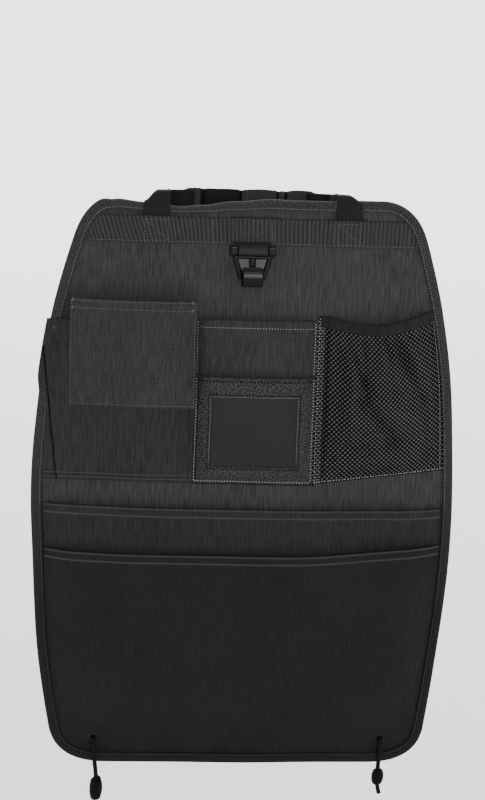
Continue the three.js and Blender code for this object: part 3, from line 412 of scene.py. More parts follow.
# %% The braid's finish
def braid_finish():
    finish = Finish("braided_cord", Specular_IOR_Level=0.12)
    around, length = finish.along()
    weave = finish.wave(around + length * 0.9, 1.35) * finish.wave(around - length * 0.9, 1.35)
    return finish.dress(weave, 0.001, 0.007, 0.8 - weave * 0.25, weave, 0.18)


BRAID = braid_finish()

# %% Route, tie and lay the cords
CORD = 5.0
EYELET_X, EYELET_Z = FOOT_HALF - 48.5, FOOT + 27
RIM_ROLL = 1.2
RIM = 5.7 + 0.5 + RIM_ROLL  # the layers under the eyelet, a little room, and the roll of its rim


def eyelet(side):
    return spot(side * EYELET_X, 0, EYELET_Z)


def cord_points(side, drop, lean):
    way = [(2, 0, 0), (RIM, 0, 0), (RIM + 3.2, 0, -1.2), (RIM + 3.6, 0.3, -6), (RIM + 2.6, lean * 0.4, -drop * 0.5),
           (RIM + 2.2, lean * 0.8, -drop * 0.8), (RIM + 2.2, lean, -drop + 0.3)]
    return [eyelet(side) + Vector((x, -depth, z)) for depth, x, z in way]


def stopper(side, drop, length, width, lean):
    """The path of a stopper knot: down through its middle, then up round itself in slanting turns."""
    at = eyelet(side) + Vector((lean, -RIM - 2.2, -drop))
    turns = round((length - 4) / 3.3)
    points = [at + Vector((0.4, 0, 3)), at, at + Vector((-0.6, 0, -length * 0.35)),
              at + Vector((0, 0, -length * 0.7)), at + Vector((1.4, 0.6, -length + 1.7))]
    for i in range(turns * 10 + 1):
        share = i / (turns * 10)
        angle = side * 2 * math.pi * turns * share
        girth = 0.42 + 0.58 * math.sin(math.pi * (0.1 + 0.8 * share)) ** 0.8
        across = (width / 2 - CORD / 2 + 0.4 * noise.noise(Vector((share * 9, side, 0)))) * girth
        height = -length + 3.4 + (length - 5.2) * share + 1.5 * math.sin(angle + 0.7)
        points.append(at + Vector((across * math.cos(angle), across * 0.8 * math.sin(angle), height)))
    return through(points, len(points) * 2)


def cord_piece(name, path, node):
    return sweep(name, path, CORD / 2, BRAID, "cord", nodes=[node])


def hang_cord(label, side, drop, length, width, lean):
    path = through(cord_points(side, drop, lean), 44)
    cord = cord_piece(f"elastic_{label}", path, f"cord_{label}")
    knot = cord_piece(f"stopper_knot_{label}", stopper(side, drop, length, width, lean), f"knot_{label}")
    return cord, knot, path


def span_points():
    left, far = eyelet(-1), eyelet(1)
    behind = 2.6 + CORD / 2
    half = [(0, -1.4, 0), (0, 2.2, 0), (3, behind + 1, -0.4), (14, behind + 0.6, -1.5),
            (EYELET_X / 2, behind, -5)]
    start = [left + Vector(step) for step in half]
    end = [far + Vector((-x, y, z)) for x, y, z in reversed(half)]
    return [*start, Vector((0, left.y + behind - 1, EYELET_Z - 6.5)), *end]


left_cord, left_knot, left_path = hang_cord("left", -1, 47, 26, 15.2, 4)
right_cord, right_knot, right_path = hang_cord("right", 1, 36, 19, 14.4, -1)
tail_top = eyelet(1) + Vector((0, -RIM - 2.2, -55))
tail_path = through([tail_top + Vector((x, 0, z)) for x, z in [(-1, 1.5), (-0.5, -1.5), (0.2, -5), (1.6, -10)]], 12)
tail = cord_piece("elastic_tail", tail_path, "knot_tail")
span_path = through(span_points(), 120)
span = cord_piece("elastic_behind", span_path, "cord_span")
for cord, path, far, going in (
        (left_cord, left_path, "knot", [left_knot]),
        (right_cord, right_path, "knot", [right_knot, tail]),
        (span, span_path, "object", [])):
    length = marks_along(path)[-1] * MM
    tuple(path[0] * MM)
    [tuple(point * MM) for point in path]
    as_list(going)
    print(cord.name, "is", round(length * 1000), "mm long")

# %% [markdown]
# ## Cloth, tape and thread
# Ribbed cloth covers the upper panel, a smooth plain weave the patches, and a darker cloth the lower pockets.
# Twill tape binds the edges. Each finish draws its threads from the cloth's flat millimetres, and adds
# slower changes, because no dyed cloth is one even grey.

# %% The woven finishes
def woven(name, tone, rib, weft, contrast=0.45, streak=0.35, roughness=0.9, relief=0.25, grain=0.0):
    """A cloth with ribs of one pitch up it and wefts of another across it."""
    finish = Finish(name, Specular_IOR_Level=0.14)
    x, y = finish.along()
    wander = finish.cloud(finish.joined(x * 0.04, y * 0.012), 2.0) * 2.0
    ribs = finish.wave(x + wander, rib)
    wefts = finish.wave(y + wander * 0.5, weft)
    slub = finish.stretched(finish.cloud(finish.joined(x * 0.42, y * 0.05), 3.0), 2.8)
    fleck = finish.stretched(finish.cloud(finish.joined(x * 0.5, y * 0.5), 1.0), 4.0)
    patchy = finish.cloud(finish.joined(x * 0.012, y * 0.012), 3.0)
    thread = ribs * 0.65 + wefts * 0.35
    mask = thread * contrast + slub * streak + fleck * grain + patchy * (1 - contrast - streak - grain)
    return finish.dress(mask, tone * 0.15, tone * 1.85, roughness + slub * 0.06, thread + fleck * grain, relief)


def twill(name, tone, pitch, width, grain, speck=0.5, darken_to_foot=0.0, roughness=0.82):
    """Tape in a herringbone that turns at the middle of its width, and that can be darker towards its foot."""
    finish = Finish(name, Specular_IOR_Level=0.16)
    x, y = finish.along()
    slant = finish.wave(abs(x - width / 2) + y, pitch)
    fleck = finish.stretched(finish.cloud(finish.joined(x * speck, y * speck), 1.0), 4.5)
    patchy = finish.cloud(finish.joined(x * 0.1, y * 0.02), 3.0)
    thread = slant * (1 - grain) + fleck * grain
    mask = (thread * 0.75 + patchy * 0.25) * (1 - finish.ramp(2, 0.26, 0.46) * darken_to_foot)
    return finish.dress(mask, tone * 0.1, tone * 1.9, roughness + patchy * 0.1, thread, 0.22)


def thread_finish(name, tone, roughness, shine=0.4):
    """Twisted sewing thread, mostly glossier than the cloth it holds."""
    finish = Finish(name, Specular_IOR_Level=shine)
    twist = finish.specks(900.0)
    return finish.dress(twist, tone * 0.6, tone * 1.4, roughness + twist * 0.15, twist, 0.1)


RIB_PITCH = 4.62
RIBBED = woven("ribbed_cloth", 0.0295, 2.3, 0.9)
POCKET = woven("pocket_cloth", 0.0185, 2.5, 0.9)
PLAIN = woven("plain_cloth", 0.0242, 1.9, 1.7, contrast=0.2, streak=0.3, grain=0.15)
DARK = woven("dark_cloth", 0.0105, 1.9, 1.7, contrast=0.25, streak=0.25, grain=0.2)
LOWER = woven("lower_cloth", 0.0165, 2.3, 0.9, contrast=0.4)
# The ribbed cloth drawn near-black: painted shade, for places where little light reaches.
PAINTED_SHADE = woven("painted_shade_cloth", 0.0035, 2.3, 0.9)
FACING = woven("facing_cloth", 0.03, 0.8, 0.8, contrast=0.15, streak=0.3)
HEM = woven("hem_tape", 0.014, 1.4, 0.8, contrast=0.2, streak=0.3)
BAND = woven("band_cloth", 0.027, RIB_PITCH, 0.9, contrast=0.65, streak=0.15, grain=0.15, relief=0.4)
TAPE = twill("twill_tape", 0.022, 2.6, BINDING_WIDTH, 0.45, darken_to_foot=0.7)
FRAME_TAPE = twill("frame_tape", 0.025, 2.0, 17, 0.85, speck=0.55)
THREAD = thread_finish("bright_thread", 0.3, 0.42)
HEM_THREAD = thread_finish("dark_grey_thread", 0.04, 0.5)
MID_THREAD = thread_finish("middling_thread", 0.13, 0.45)
SOFT_THREAD = thread_finish("dull_thread", 0.085, 0.5)
DARK_THREAD = thread_finish("dark_thread", 0.002, 0.8, 0.03)
print("finishes for cord, cloth, tape and thread:", len(bpy.data.materials))

# %% [markdown]
# ## Stitches
# A seam is a row of short threads that dip into the cloth at both ends. One rounded grain, stretched along
# the seam and sunk by half into the cloth, is a stitch, and it has only a few faces because there are
# thousands of them.

# %% Sew a row of stitches
STITCH_PITCH = 3.1


def bead(mesh, middle, turn, size):
    """A small rounded body of few faces, turned and stretched."""
    place = Matrix.Scale(MM, 4) @ Matrix.Translation(middle) @ turn @ Matrix.Diagonal((*size, 1))
    bmesh.ops.create_icosphere(mesh, subdivisions=1, radius=1, matrix=place)


def stitch(thread, a, b, width):
    """One bead of thread from a to b."""
    turn = (b - a).to_track_quat("X", "Z").to_matrix().to_4x4()
    bead(thread, (a + b) / 2, turn, ((b - a).length / 2, width / 2, width / 2))


def spaced(path, pitch):
    """Points at even steps along a path, each with its direction."""
    found, walked, gone = [], 0.0, pitch / 2
    for a, b in zip(path, path[1:]):
        step = (b - a).length
        while step > 0 and gone <= walked + step:
            found.append((a.lerp(b, (gone - walked) / step), (b - a).normalized()))
            gone += pitch
        walked += step
    return found


def sew(thread, path, pitch=STITCH_PITCH, length=1.45, width=1.05):
    """A row of straight stitches along a path of points in millimetres."""
    for middle, along in spaced(path, pitch):
        stitch(thread, middle - along * length / 2, middle + along * length / 2, width)


def zigzag(thread, path, swing=1.0, pitch=1.5, width=0.85):
    """A row of slanted stitches, each crossing the seam."""
    ends = [middle + Vector((0, 0, swing if i % 2 else -swing)) for i, (middle, _) in enumerate(spaced(path, pitch))]
    for a, b in zip(ends, ends[1:]):
        stitch(thread, a, b, width)


def seam(surface, *corners, step=4.0, lift=0.05):
    """Points on a surface along straight lines from corner to corner, each (x, z)."""
    path = []
    for (ax, az), (bx, bz) in zip(corners, corners[1:]):
        count = max(1, round(math.hypot(bx - ax, bz - az) / step))
        for i in range(count + 1):
            x, z = ax + (bx - ax) * i / count, az + (bz - az) * i / count
            path.append(spot(x, surface(x, z) + lift, z))
    return path


def tack(thread, surface, x, z, width=5.0, height=7.0):
    """A bar tack: a short dense zigzag that holds the end of a seam."""
    count = 4
    for i in range(count):
        level = z - height / 2 + height * i / (count - 1)
        sew(thread, seam(surface, (x - width / 2, level), (x + width / 2, level + 0.8)), width, width, 0.7)


# %% [markdown]
# ## Pocket fronts
# A pocket front is sewn flat along three seams and stands off the cloth behind it in between, most of all
# at its open hem. A quick rise beside each seam and a flat middle is how loaded cloth lies, and slow waves
# with a little puckering beside the stitches keep it from looking pressed.

# %% The rule for a pocket's stand-off
FACE, CLOTH, LAYER = 2.7, 1.2, 1.5
CENTRE_LEFT, CENTRE_RIGHT, ROW_FOOT = -58, 74, -303
PATCH_RIGHT, PATCH_WIDE = CENTRE_LEFT - 0.3, 137
PLEATED_TOP, PATCH_TOP, CENTRE_TOP, WINDOW_TOP = -126, -102, -122, -183.4
PATCH_FOOT, WIDE_FOOT, WIDE_SEAM_IN, WIDE_RUN = -219, -621.5, 6.5, 48


def rise(distance, run):
    return 1 - (1 - clamp(distance / run)) ** 2.3


def hem_step(z, top, width, by=0.5):
    """A hem is folded cloth, so it stands off by one more layer."""
    return by * smooth((z - top + width) / 0.6)


class Pocket:
    def __init__(self, left, right, foot, top, gape, run, foot_seam, seam_in=3.0):
        self.left, self.right = left, right
        self.foot, self.top = foot, top
        self.gape, self.run = gape, run
        self.foot_seam, self.seam_in = foot_seam, seam_in

    def stand(self, x, z):
        return self.gape * (
            rise(x - self.left(z) - self.seam_in, self.run)
            * rise(self.right(z) - self.seam_in - x, self.run)
            * rise(z - self.foot_seam, self.run))

    def at(self, u, v):
        z = self.foot + v * (self.top - self.foot)
        return self.left(z) + u * (self.right(z) - self.left(z)), z


def pucker(x, z, edge_x, edge_z, size=0.3, pitch=5.5):
    """Small gathers that run in from the seams and die out within a few millimetres."""
    side = math.exp(-abs(edge_x) / 5) * math.sin(2 * math.pi * z / pitch + 2 * ripple(x, z, 30, 30, 9))
    end = math.exp(-abs(edge_z) / 5) * math.sin(2 * math.pi * x / pitch + 2 * ripple(x, z, 30, 30, 5))
    return size * (side + end)


def beside(pocket, x, z):
    """How far a place is from the nearer side of its pocket."""
    return min(x - pocket.left(z), pocket.right(z) - x)


pleated = Pocket(lambda z: -sewn_half(z), lambda z: PATCH_RIGHT, ROW_FOOT, PLEATED_TOP, 7, 22, ROW_FOOT + 5)
patch = Pocket(lambda z: PATCH_RIGHT - PATCH_WIDE, lambda z: PATCH_RIGHT, PATCH_FOOT, PATCH_TOP, 8, 22, -215)
centre = Pocket(lambda z: CENTRE_LEFT, lambda z: CENTRE_RIGHT, ROW_FOOT, CENTRE_TOP, 6.4, 18, ROW_FOOT + 4)
window = Pocket(lambda z: CENTRE_LEFT, lambda z: CENTRE_RIGHT, ROW_FOOT, WINDOW_TOP, 5, 18, ROW_FOOT + 4)
long_row, main_row = (Pocket(lambda z: -sewn_half(z), sewn_half, WIDE_FOOT, top, gape, WIDE_RUN, -586, WIDE_SEAM_IN)
                      for top, gape in ((-330, 8), (-380, 8.5)))
print("pocket hems at", [pocket.top for pocket in (pleated, patch, centre, window, long_row, main_row)])

# %% [markdown]
# ## The back panel
# The panel is one piece of ribbed cloth over a thin stiffener. Its rows follow the outline from corner to
# corner, so the rounded corners stay smooth. Little light comes through the mesh, so behind it the cloth is
# drawn near-black: painted shade.

# %% Lay the back panel
def panel_front(x, z):
    slack = 0.55 * ripple(x, z, 55, 120, 1) + 0.22 * ripple(x, z, 16, 60, 2)
    return 2.4 + slack * smooth((half_width(z) - abs(x)) / 30)


def panel_place(u, v):
    where = v * (len(SIDE) - 1)
    k = min(int(where), len(SIDE) - 2)
    (ax, az), (bx, bz) = SIDE[k], SIDE[k + 1]
    half, z = ax + (bx - ax) * (where - k), az + (bz - az) * (where - k)
    x = (2 * u - 1) * (half - 0.2)
    return spot(x, panel_front(x, z), z)


panel = piece_of(lay(flat_grid(110, 2 * len(SIDE) - 2), panel_place), "panel_cloth", RIBBED, "ribbed_cloth",
                 ["back_panel"], 2.2)
panel.modifiers["thickness"].material_offset = -1
MESH_LEFT, MESH_SLOPE = 74.7, 0.115


def mesh_foot(x):
    """The foot of the mesh pocket rises to the right."""
    return ROW_FOOT + MESH_SLOPE * max(0.0, x - MESH_LEFT)


# Behind the mesh the panel's faces take the painted shade finish.
second_finish(panel, PAINTED_SHADE, lambda x, z: 76 < x < half_width(z) - 8 and mesh_foot(x) + 5 < z < -132)

# %% [markdown]
# ## The edge binding
# Twill tape is folded over the raw edge and sewn through. Its section is a U, so a grid is carried round
# the whole outline with the U across it. It is thicker where the pockets' sides are caught under it.

# %% Fold the binding round the edge
def outline_loop():
    flat_foot = [(BOTTOM_HALF * i / 14, FOOT) for i in range(14)]
    flat_top = [(TOP_HALF * (13 - i) / 14, TOP) for i in range(14)]
    half = [*flat_foot, *SIDE, *flat_top]
    other = [(-x, z) for x, z in reversed(half[1:-1])]
    return [Vector((x, 0, z)) for x, z in half + other]


def evenly(points, count):
    """The same closed line with its points at even steps, and its length."""
    closed = [*points, points[0]]
    marks = marks_along(closed)
    result, k = [], 0
    for i in range(count):
        where = marks[-1] * i / count
        while marks[k + 1] < where:
            k += 1
        result.append(closed[k].lerp(closed[k + 1], (where - marks[k]) / (marks[k + 1] - marks[k])))
    return result, marks[-1]


LOOP, ROUND = evenly(outline_loop(), 640)
# How thick the layers under the binding are, by height.
BINDING_LEVELS = [(-336, 6.2), (-316, 4.7), (-102, 4.7), (-86, 2.7), (-55, 2.7), (-45, 5.1), (-8, 5.1), (-2, 3.8)]


def outward(i):
    along = LOOP[(i + 1) % len(LOOP)] - LOOP[i - 1]
    return Vector((along.z, 0, -along.x)).normalized()


def tape_section(v):
    """How far out the tape is, and its share of the way from its front leg to its back leg."""
    if v < 0.4:
        return -BINDING_WIDTH + (BINDING_WIDTH - 0.2) * v / 0.4, 0.0
    if v > 0.6:
        return -BINDING_WIDTH + (BINDING_WIDTH - 0.2) * (1 - v) / 0.4, 1.0
    turn = math.pi * (v - 0.4) / 0.2
    return -0.2 + 1.8 * math.sin(turn), (1 - math.cos(turn)) / 2


def binding_depth(i, out, share):
    point = LOOP[i] + outward(i) * out
    gather = math.sin(i * ROUND / len(LOOP) * 2 * math.pi / 6.5 + 3 * ripple(point.x, point.z, 40, 40, 3))
    roll = 0.35 * math.exp(-((out + 3) / 2.5) ** 2) - 1.0 * smooth((-out - 5) / 4)
    front = between(BINDING_LEVELS, point.z) + 1.15 + roll + 0.2 * gather
    return point, front + (-1.6 - roll - 0.1 * gather - front) * share


def binding_place(u, v):
    i = round(u * len(LOOP)) % len(LOOP)
    out, share = tape_section(v)
    point, depth = binding_depth(i, out, share)
    return spot(point.x, depth, point.z)


piece_of(lay(flat_grid(len(LOOP), 20), binding_place, lambda u, v: (v * 22, u * ROUND), join=True),
         "binding_tape", TAPE, "tape", ["edge_binding"], 0.9)
print("binding is", round(ROUND), "mm round")

# %% Sew the binding through, with darker thread low down and behind
SEAM_IN, STITCH_LIFT, DARK_BELOW = 7.4, 0.95, -330


def binding_seam(share):
    path = []
    for i in range(len(LOOP) + 1):
        point, depth = binding_depth(i % len(LOOP), -SEAM_IN, share)
        path.append(spot(point.x, depth + STITCH_LIFT * (1 - 2 * share), point.z))
    return path


upper, lower = bmesh.new(), bmesh.new()
for share in (0.0, 1.0):
    for middle, along in spaced(binding_seam(share), 3.2):
        thread = upper if middle.z > DARK_BELOW and share < 0.5 else lower
        stitch(thread, middle - along * 0.8, middle + along * 0.8, 1.15)
piece_of(upper, "binding_stitches", MID_THREAD, "tape")
piece_of(lower, "lower_binding_stitches", HEM_THREAD, "tape")

# %% [markdown]
# ## Facing and ribbed band
# Below the binding runs a smooth facing, and below that a band of corded webbing: each rib is a rounded
# ridge. Beside the sewn-in straps the band lifts, and towards its left side its ribs lean outwards.

# %% Lay the facing and the ribbed band
BAND_TOP, BAND_FOOT, BAND_BODY = -12, -41, 0.9
STRAP_X, TAB_HALF = 104, 17.8


def plateau(x, middle, half, shoulder):
    return rise(half + shoulder - abs(x - middle), shoulder)


def band_lift(x, z):
    straps = max(plateau(x, STRAP_X, 16, 8), plateau(x, -STRAP_X, 16, 8))
    tab = plateau(x, 0, TAB_HALF, 9)
    return max(straps * 3.0, tab * (3.4 + 0.9 * smooth((BAND_FOOT + 10 - z) / 6)))


def facing_front(x, z):
    return FACE + 0.8 + 0.15 * ripple(x, z, 25, 10, 4)


def rib_phase(x, z):
    """The ribs lean outwards on the left, and none of them is quite straight."""
    return x + 0.3 * clamp(-x / 120, 0, 1) * (z - BAND_TOP) + 1.1 * ripple(x, z, 25, 30, 6)


def band_front(x, z):
    ridge = math.cos(math.pi * rib_phase(x, z) / RIB_PITCH - math.pi / 4) ** 4
    strength = 0.8 + 0.3 * ripple(x, z, 18, 18, 7)
    return FACE + band_lift(x, z) + BAND_BODY + 1.1 * strength * ridge * smooth((z - BAND_FOOT) / 1.5)


def facing_place(u, v):
    z = BAND_TOP + 0.3 + v * 16.2
    x = (2 * u - 1) * sewn_half(z)
    return spot(x, facing_front(x, z), z)


def band_at(u, v):
    z = BAND_FOOT + v * (BAND_TOP - BAND_FOOT)
    return (2 * u - 1) * sewn_half(z), z


def band_place(u, v):
    x, z = band_at(u, v)
    lift = 3.4 * plateau(x, 0, TAB_HALF, 9) * smooth((BAND_FOOT + 5 - z) / 5)
    return spot(x, band_front(x, z), z) + Vector((0, 0, lift))


def band_flat(u, v):
    x, z = band_at(u, v)
    return rib_phase(x, z), z


facing = piece_of(lay(flat_grid(90, 8), facing_place), "facing_strip", FACING, "smooth_cloth", ["top_facing"], 0.7)
band = piece_of(lay(flat_grid(720, 14), band_place, band_flat), "corded_band", BAND, "ribbed_cloth",
                ["ribbed_band"], 0.8)

# %% Sew the band
BOX_HALF, BOX_TOP, BOX_FOOT, BAND_SEAM = 12.5, -16, -38, -39.2
thread = bmesh.new()


def band_seam(*corners, lift=0.2):
    return seam(band_front, *corners, step=1.2, lift=lift)


def box_stitch(left, far, top, foot):
    sew(thread, band_seam((left, top), (far, top), (far, foot), (left, foot), (left, top)), length=1.5, width=0.8)


for side in (-1, 1):
    left, far = side * STRAP_X - BOX_HALF, side * STRAP_X + BOX_HALF
    box_stitch(left, far, BOX_TOP, BOX_FOOT)
    sew(thread, band_seam((left, BOX_TOP), (far, BOX_FOOT)), 3.4)
box_stitch(-1, 9, -15, -30)
for x in (-45.5, -43, 20, 60.6):
    sew(thread, band_seam((x, -15), (x + 0.6, BOX_FOOT), lift=0.25), 2.4, 1.5, 0.9)
for left, far in ((-176, -20), (20, 176)):
    sew(thread, band_seam((left, BAND_SEAM), (far, BAND_SEAM), lift=0.15))
piece_of(thread, "band_stitches", SOFT_THREAD, "tape")

# %% [markdown]
# ## Straps, elastic and the hook's loop
# Webbing keeps its width wherever it goes, so a strap is laid as threads that all go the same way, side by
# side. Each strap goes over the top edge, twists by a quarter turn and wraps its post.

# %% The webbing's finish
def webbing_finish(name, tone, pitch, roughness):
    finish = Finish(name, Specular_IOR_Level=0.16)
    x, y = finish.along()
    cords = finish.wave(x, pitch)
    picks = finish.wave(y + cords * 0.4, 1.1)
    patchy = finish.cloud(finish.joined(x * 0.2, y * 0.05), 3.0)
    thread = cords * 0.7 + picks * 0.3
    return finish.dress(thread * 0.6 + patchy * 0.4, tone * 0.4, tone * 1.6, roughness + patchy * 0.12, thread, 0.3)


WEBBING = webbing_finish("strap_webbing", 0.005, 1.9, 0.55)
TAB_WEBBING = webbing_finish("loop_webbing", 0.016, 1.6, 0.55)
ELASTIC = webbing_finish("gathered_elastic", 0.03, 2.3, 0.75)
SATIN = webbing_finish("satin_sleeve", 0.005, 0.7, 0.45)
print("webbing finishes:", WEBBING.name, TAB_WEBBING.name, ELASTIC.name, SATIN.name)

# %% Lay the straps
POST_X, POST_BEND, STRAP_HALF = 82, 7.25, 14


def strap_line(side, out):
    """One thread of a strap, out from -1 at its inner edge to 1 at its outer edge."""
    x = side * (STRAP_X + STRAP_HALF * out)
    fold = 14.5 - (12 if side < 0 else 7) * smooth((out + 0.1) / 1.1)
    line = [spot(x, 4.6, z, 0) for z in (-32, -26, -20, -14, -10)]
    line += [spot(x, 5.8, z, 0) for z in (-7, -4)] + [spot(x, 5.8, fold - 5, 0)]
    for turn in (0.3, 0.7, 1.1, math.pi / 2):
        line.append(spot(x, 2.8 + 3 * math.cos(turn), fold - 3, 0) + Vector((0, 0, 3 * math.sin(turn))))
    a = line[-1]
    b = a + Vector((0, 11, 2.5))
    d = Vector((side * (POST_X + POST_BEND), 0, -STRAP_HALF * out))
    c = d + Vector((side * 3, -15, 0))
    for i in range(1, 21):
        t = i / 20
        line.append(a * (1 - t) ** 3 + b * 3 * t * (1 - t) ** 2 + c * 3 * t * t * (1 - t) + d * t ** 3)
    for i in range(1, 10):
        turn = math.pi / 2 * i / 9
        line.append(Vector((side * (POST_X + POST_BEND * math.cos(turn)), POST_BEND * math.sin(turn), d.z)))
    return line + [Vector((side * (POST_X - inwards), POST_BEND, d.z)) for inwards in (4, 12, 20)]


def lay_strap(side, label):
    threads = [strap_line(side, i / 7 - 1) for i in range(15)]
    marks = [32 + 5 * i for i in range(len(threads[0]))]

    def place(u, v):
        return threads[round(u * 14)][round(v * (len(marks) - 1))]

    cloth = lay(flat_grid(14, len(marks) - 1), place,
                lambda u, v: (u * 2 * STRAP_HALF, marks[round(v * (len(marks) - 1))]))
    if side < 0:
        bmesh.ops.reverse_faces(cloth, faces=cloth.faces)
    return piece_of(cloth, f"webbing_{label}", WEBBING, "webbing", [f"strap_{label}"], 1.2, offset=0.0)


for side, label in SIDES:
    lay_strap(side, label)

# %% Gather the elastic between the posts
FOLDS = [(-52.5, 3.2), (-10.8, 3.0), (30.5, 2.2), (39.3, 2.2), (70.6, 2.4)]
SATIN_FROM, SATIN_TO = -51, -12


def in_sleeve_or_fold(x, z):
    """The sleeve and the deep folds take the darker satin finish, whatever their height."""
    return SATIN_FROM < x < SATIN_TO or any(abs(x - at) < width * 0.8 for at, width in FOLDS)


def elastic_place(u, v):
    x, z = -79 + 158 * u, -14 + 28 * v
    inner = smooth((76 - abs(x)) / 10)
    deep = sum(4.2 * math.exp(-((x - at - 0.08 * z) / width) ** 2) for at, width in FOLDS)
    ribbed = 1 - smooth((x - SATIN_FROM) / 3) * smooth((SATIN_TO - x) / 3)
    gathers = 0.55 * math.sin(2 * math.pi * x / 4.6 + 2 * ripple(x, z, 18, 30, 11)) * ribbed
    belly = 1.6 * ripple(x, z, 14, 30, 12)
    lifted = (2.4 + 1.2 * ripple(x, 0, 23, 1, 13) - 0.25 * deep) * v * inner
    return Vector((x, 8.95 + (deep * 0.8 - gathers - belly) * inner, z + lifted))


elastic = piece_of(lay(flat_grid(260, 12), elastic_place, lambda u, v: (u * 170, v * 28)), "post_elastic",
                   ELASTIC, "tape", ["headrest_elastic"], 1.3, offset=0.0)
second_finish(elastic, SATIN, in_sleeve_or_fold)

# %% [markdown]
# ## The bag hook
# The hook is moulded plastic and hangs in a webbing loop. A copy of its solid is joined by fuller bar ends and
# arms, a leaning plate for the web, a rib and a round lip. Remeshing in small steps melts them together, and
# smoothing gives the soft edges of a moulding.

# %% Loop the webbing and mould the hook
BAR_Z, BAR_DEPTH, TAB_BEND, TAB_BACK, LOOP_WIDTH = -46.5, 8.5, 5.1, 5.1, 31.6


def loop_line():
    points = [(3.4, z) for z in (-19, -26, -33, -40)]
    for i in range(29):
        turn = math.radians(235) * i / 28
        points.append((BAR_DEPTH - TAB_BEND * math.cos(turn), BAR_Z - TAB_BEND * math.sin(turn)))
    leave_depth, leave_z = points[-1]
    climb = (leave_depth - TAB_BACK) / math.tan(math.radians(55))
    points += [((leave_depth + TAB_BACK) / 2, leave_z + climb / 2), (TAB_BACK + 0.5, leave_z + climb),
               (TAB_BACK, leave_z + climb + 2.5), (TAB_BACK, -30), (TAB_BACK, -21)]
    return [Vector((0, BACK - depth, z)) for depth, z in points]


loop = loop_line()
loop_marks, last = marks_along(loop), len(loop) - 1
loop_cloth = lay(flat_grid(16, last), lambda u, v: loop[round(v * last)] + Vector(((u - 0.5) * LOOP_WIDTH, 0, 0)),
                 lambda u, v: (u * LOOP_WIDTH, loop_marks[round(v * last)]))
piece_of(loop_cloth, "hook_loop", TAB_WEBBING, "tape", ["hook_tab"], 1.3, offset=0.0)


def moulded_finish():
    finish = Finish("moulded_plastic", Specular_IOR_Level=0.13)
    grain, broad = finish.specks(1400.0, 3.0), finish.specks(60.0)
    return finish.dress(broad, 0.0005, 0.0015, 0.13 + broad * 0.12 + grain * 0.05, grain, 0.025)


def add_block(solid, middle, size, round_by=0.0, turn=0.0, axis="X"):
    """A block whose edges can be rounded, for the remesh to melt into the rest."""
    place = Matrix.Scale(MM, 4) @ Matrix.Translation(middle) @ Matrix.Rotation(turn, 4, axis)
    verts = bmesh.ops.create_cube(solid, size=1, matrix=place @ Matrix.Diagonal((*size, 1)))["verts"]
    if round_by:
        edges = list({edge for vert in verts for edge in vert.link_edges})
        bmesh.ops.bevel(solid, geom=edges, offset=round_by * MM, affect="EDGES", segments=4, profile=0.5)
    return verts


hook = bmesh.new()
hook.from_mesh(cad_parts["hook"].data)
bmesh.ops.remove_doubles(hook, verts=hook.verts, dist=1e-6)
for side in (-1, 1):
    add_block(hook, Vector((side * 20.4, BACK - BAR_DEPTH, BAR_Z - 0.3)), (8.6, 9.2, 10.5), 1.6)
    add_block(hook, Vector((side * 16.4, BACK - 6, -63)), (4.4, 5.2, 31), 1.2, side * math.radians(17.6), "Y")
web = add_block(hook, Vector((0, BACK - 5.3, -62)), (35, 1.6, 19), turn=math.radians(-9))
for vert in web:
    if vert.co.z < -62 * MM:
        vert.co.x *= 0.62
lip = Matrix.Scale(MM, 4) @ Matrix.Translation((0, -64.7, -75.6)) @ Matrix.Diagonal((10.4, 2.9, 9.2, 1))
bmesh.ops.create_cone(hook, cap_ends=True, segments=40, radius1=1, radius2=1, depth=2,
                      matrix=lip @ Matrix.Rotation(math.pi / 2, 4, "Y"))
add_block(hook, Vector((0, BACK - 6.4, -58.5)), (5.4, 3.2, 12), 0.6)
moulded = piece_of(hook, "moulded_hook", moulded_finish(), "hook_plastic", ["hook"], body="bag_hook")
melt = moulded.modifiers.new("moulding", "REMESH")
melt.mode, melt.voxel_size, melt.use_smooth_shade = "VOXEL", 0.32 * MM, True
soften = moulded.modifiers.new("soft_edges", "SMOOTH")
soften.factor, soften.iterations = 0.5, 5

# %% [markdown]
# ## The left pockets
# The lower cloth has a box pleat down each side, so that the pocket can open, and a smooth patch pocket is
# sewn on it. Both have double-stitched hems.

# %% Lay the pleated pocket and the patch pocket
PLEAT = 14
GROOVE, GROOVE_FROM, GROOVE_TO = 1.5, 0.2, 0.22
SEAM_OFF = 1.8


def fold_x(z):
    """The edge of the left pleat, which slants from the panel's edge to the foot of the pocket."""
    return -222 + 16 * (-159 - z) / 145


def pleated_front(x, z):
    far = PATCH_RIGHT - 3 - PLEAT
    under = 0.8 * smooth((far + 0.7 - x) / 0.7)
    waves = 0.8 * ripple(x, z, 24, 110, 21) * rise(z - pleated.foot_seam, 40)
    wrap = 3.2 * smooth((-x - half_width(z) + 11) / 2) * pleat_reach(z)
    edge = min(x - pleated.left(z) - 6, PATCH_RIGHT - x)
    return FACE + CLOTH + pleated.stand(x, z) + 2.4 * fold_depth(z) + under + hem_step(
        z, PLEATED_TOP, 10.5) + waves + wrap + pucker(x, z, edge, z - ROW_FOOT - 5)


def pleat_reach(z):
    """Towards its hem the pocket's side comes out over the binding."""
    return smooth((z + 232) / 50)


def fold_depth(z):
    """The fold opens below the middle of the pocket's side."""
    return smooth((-150 - z) / 14)


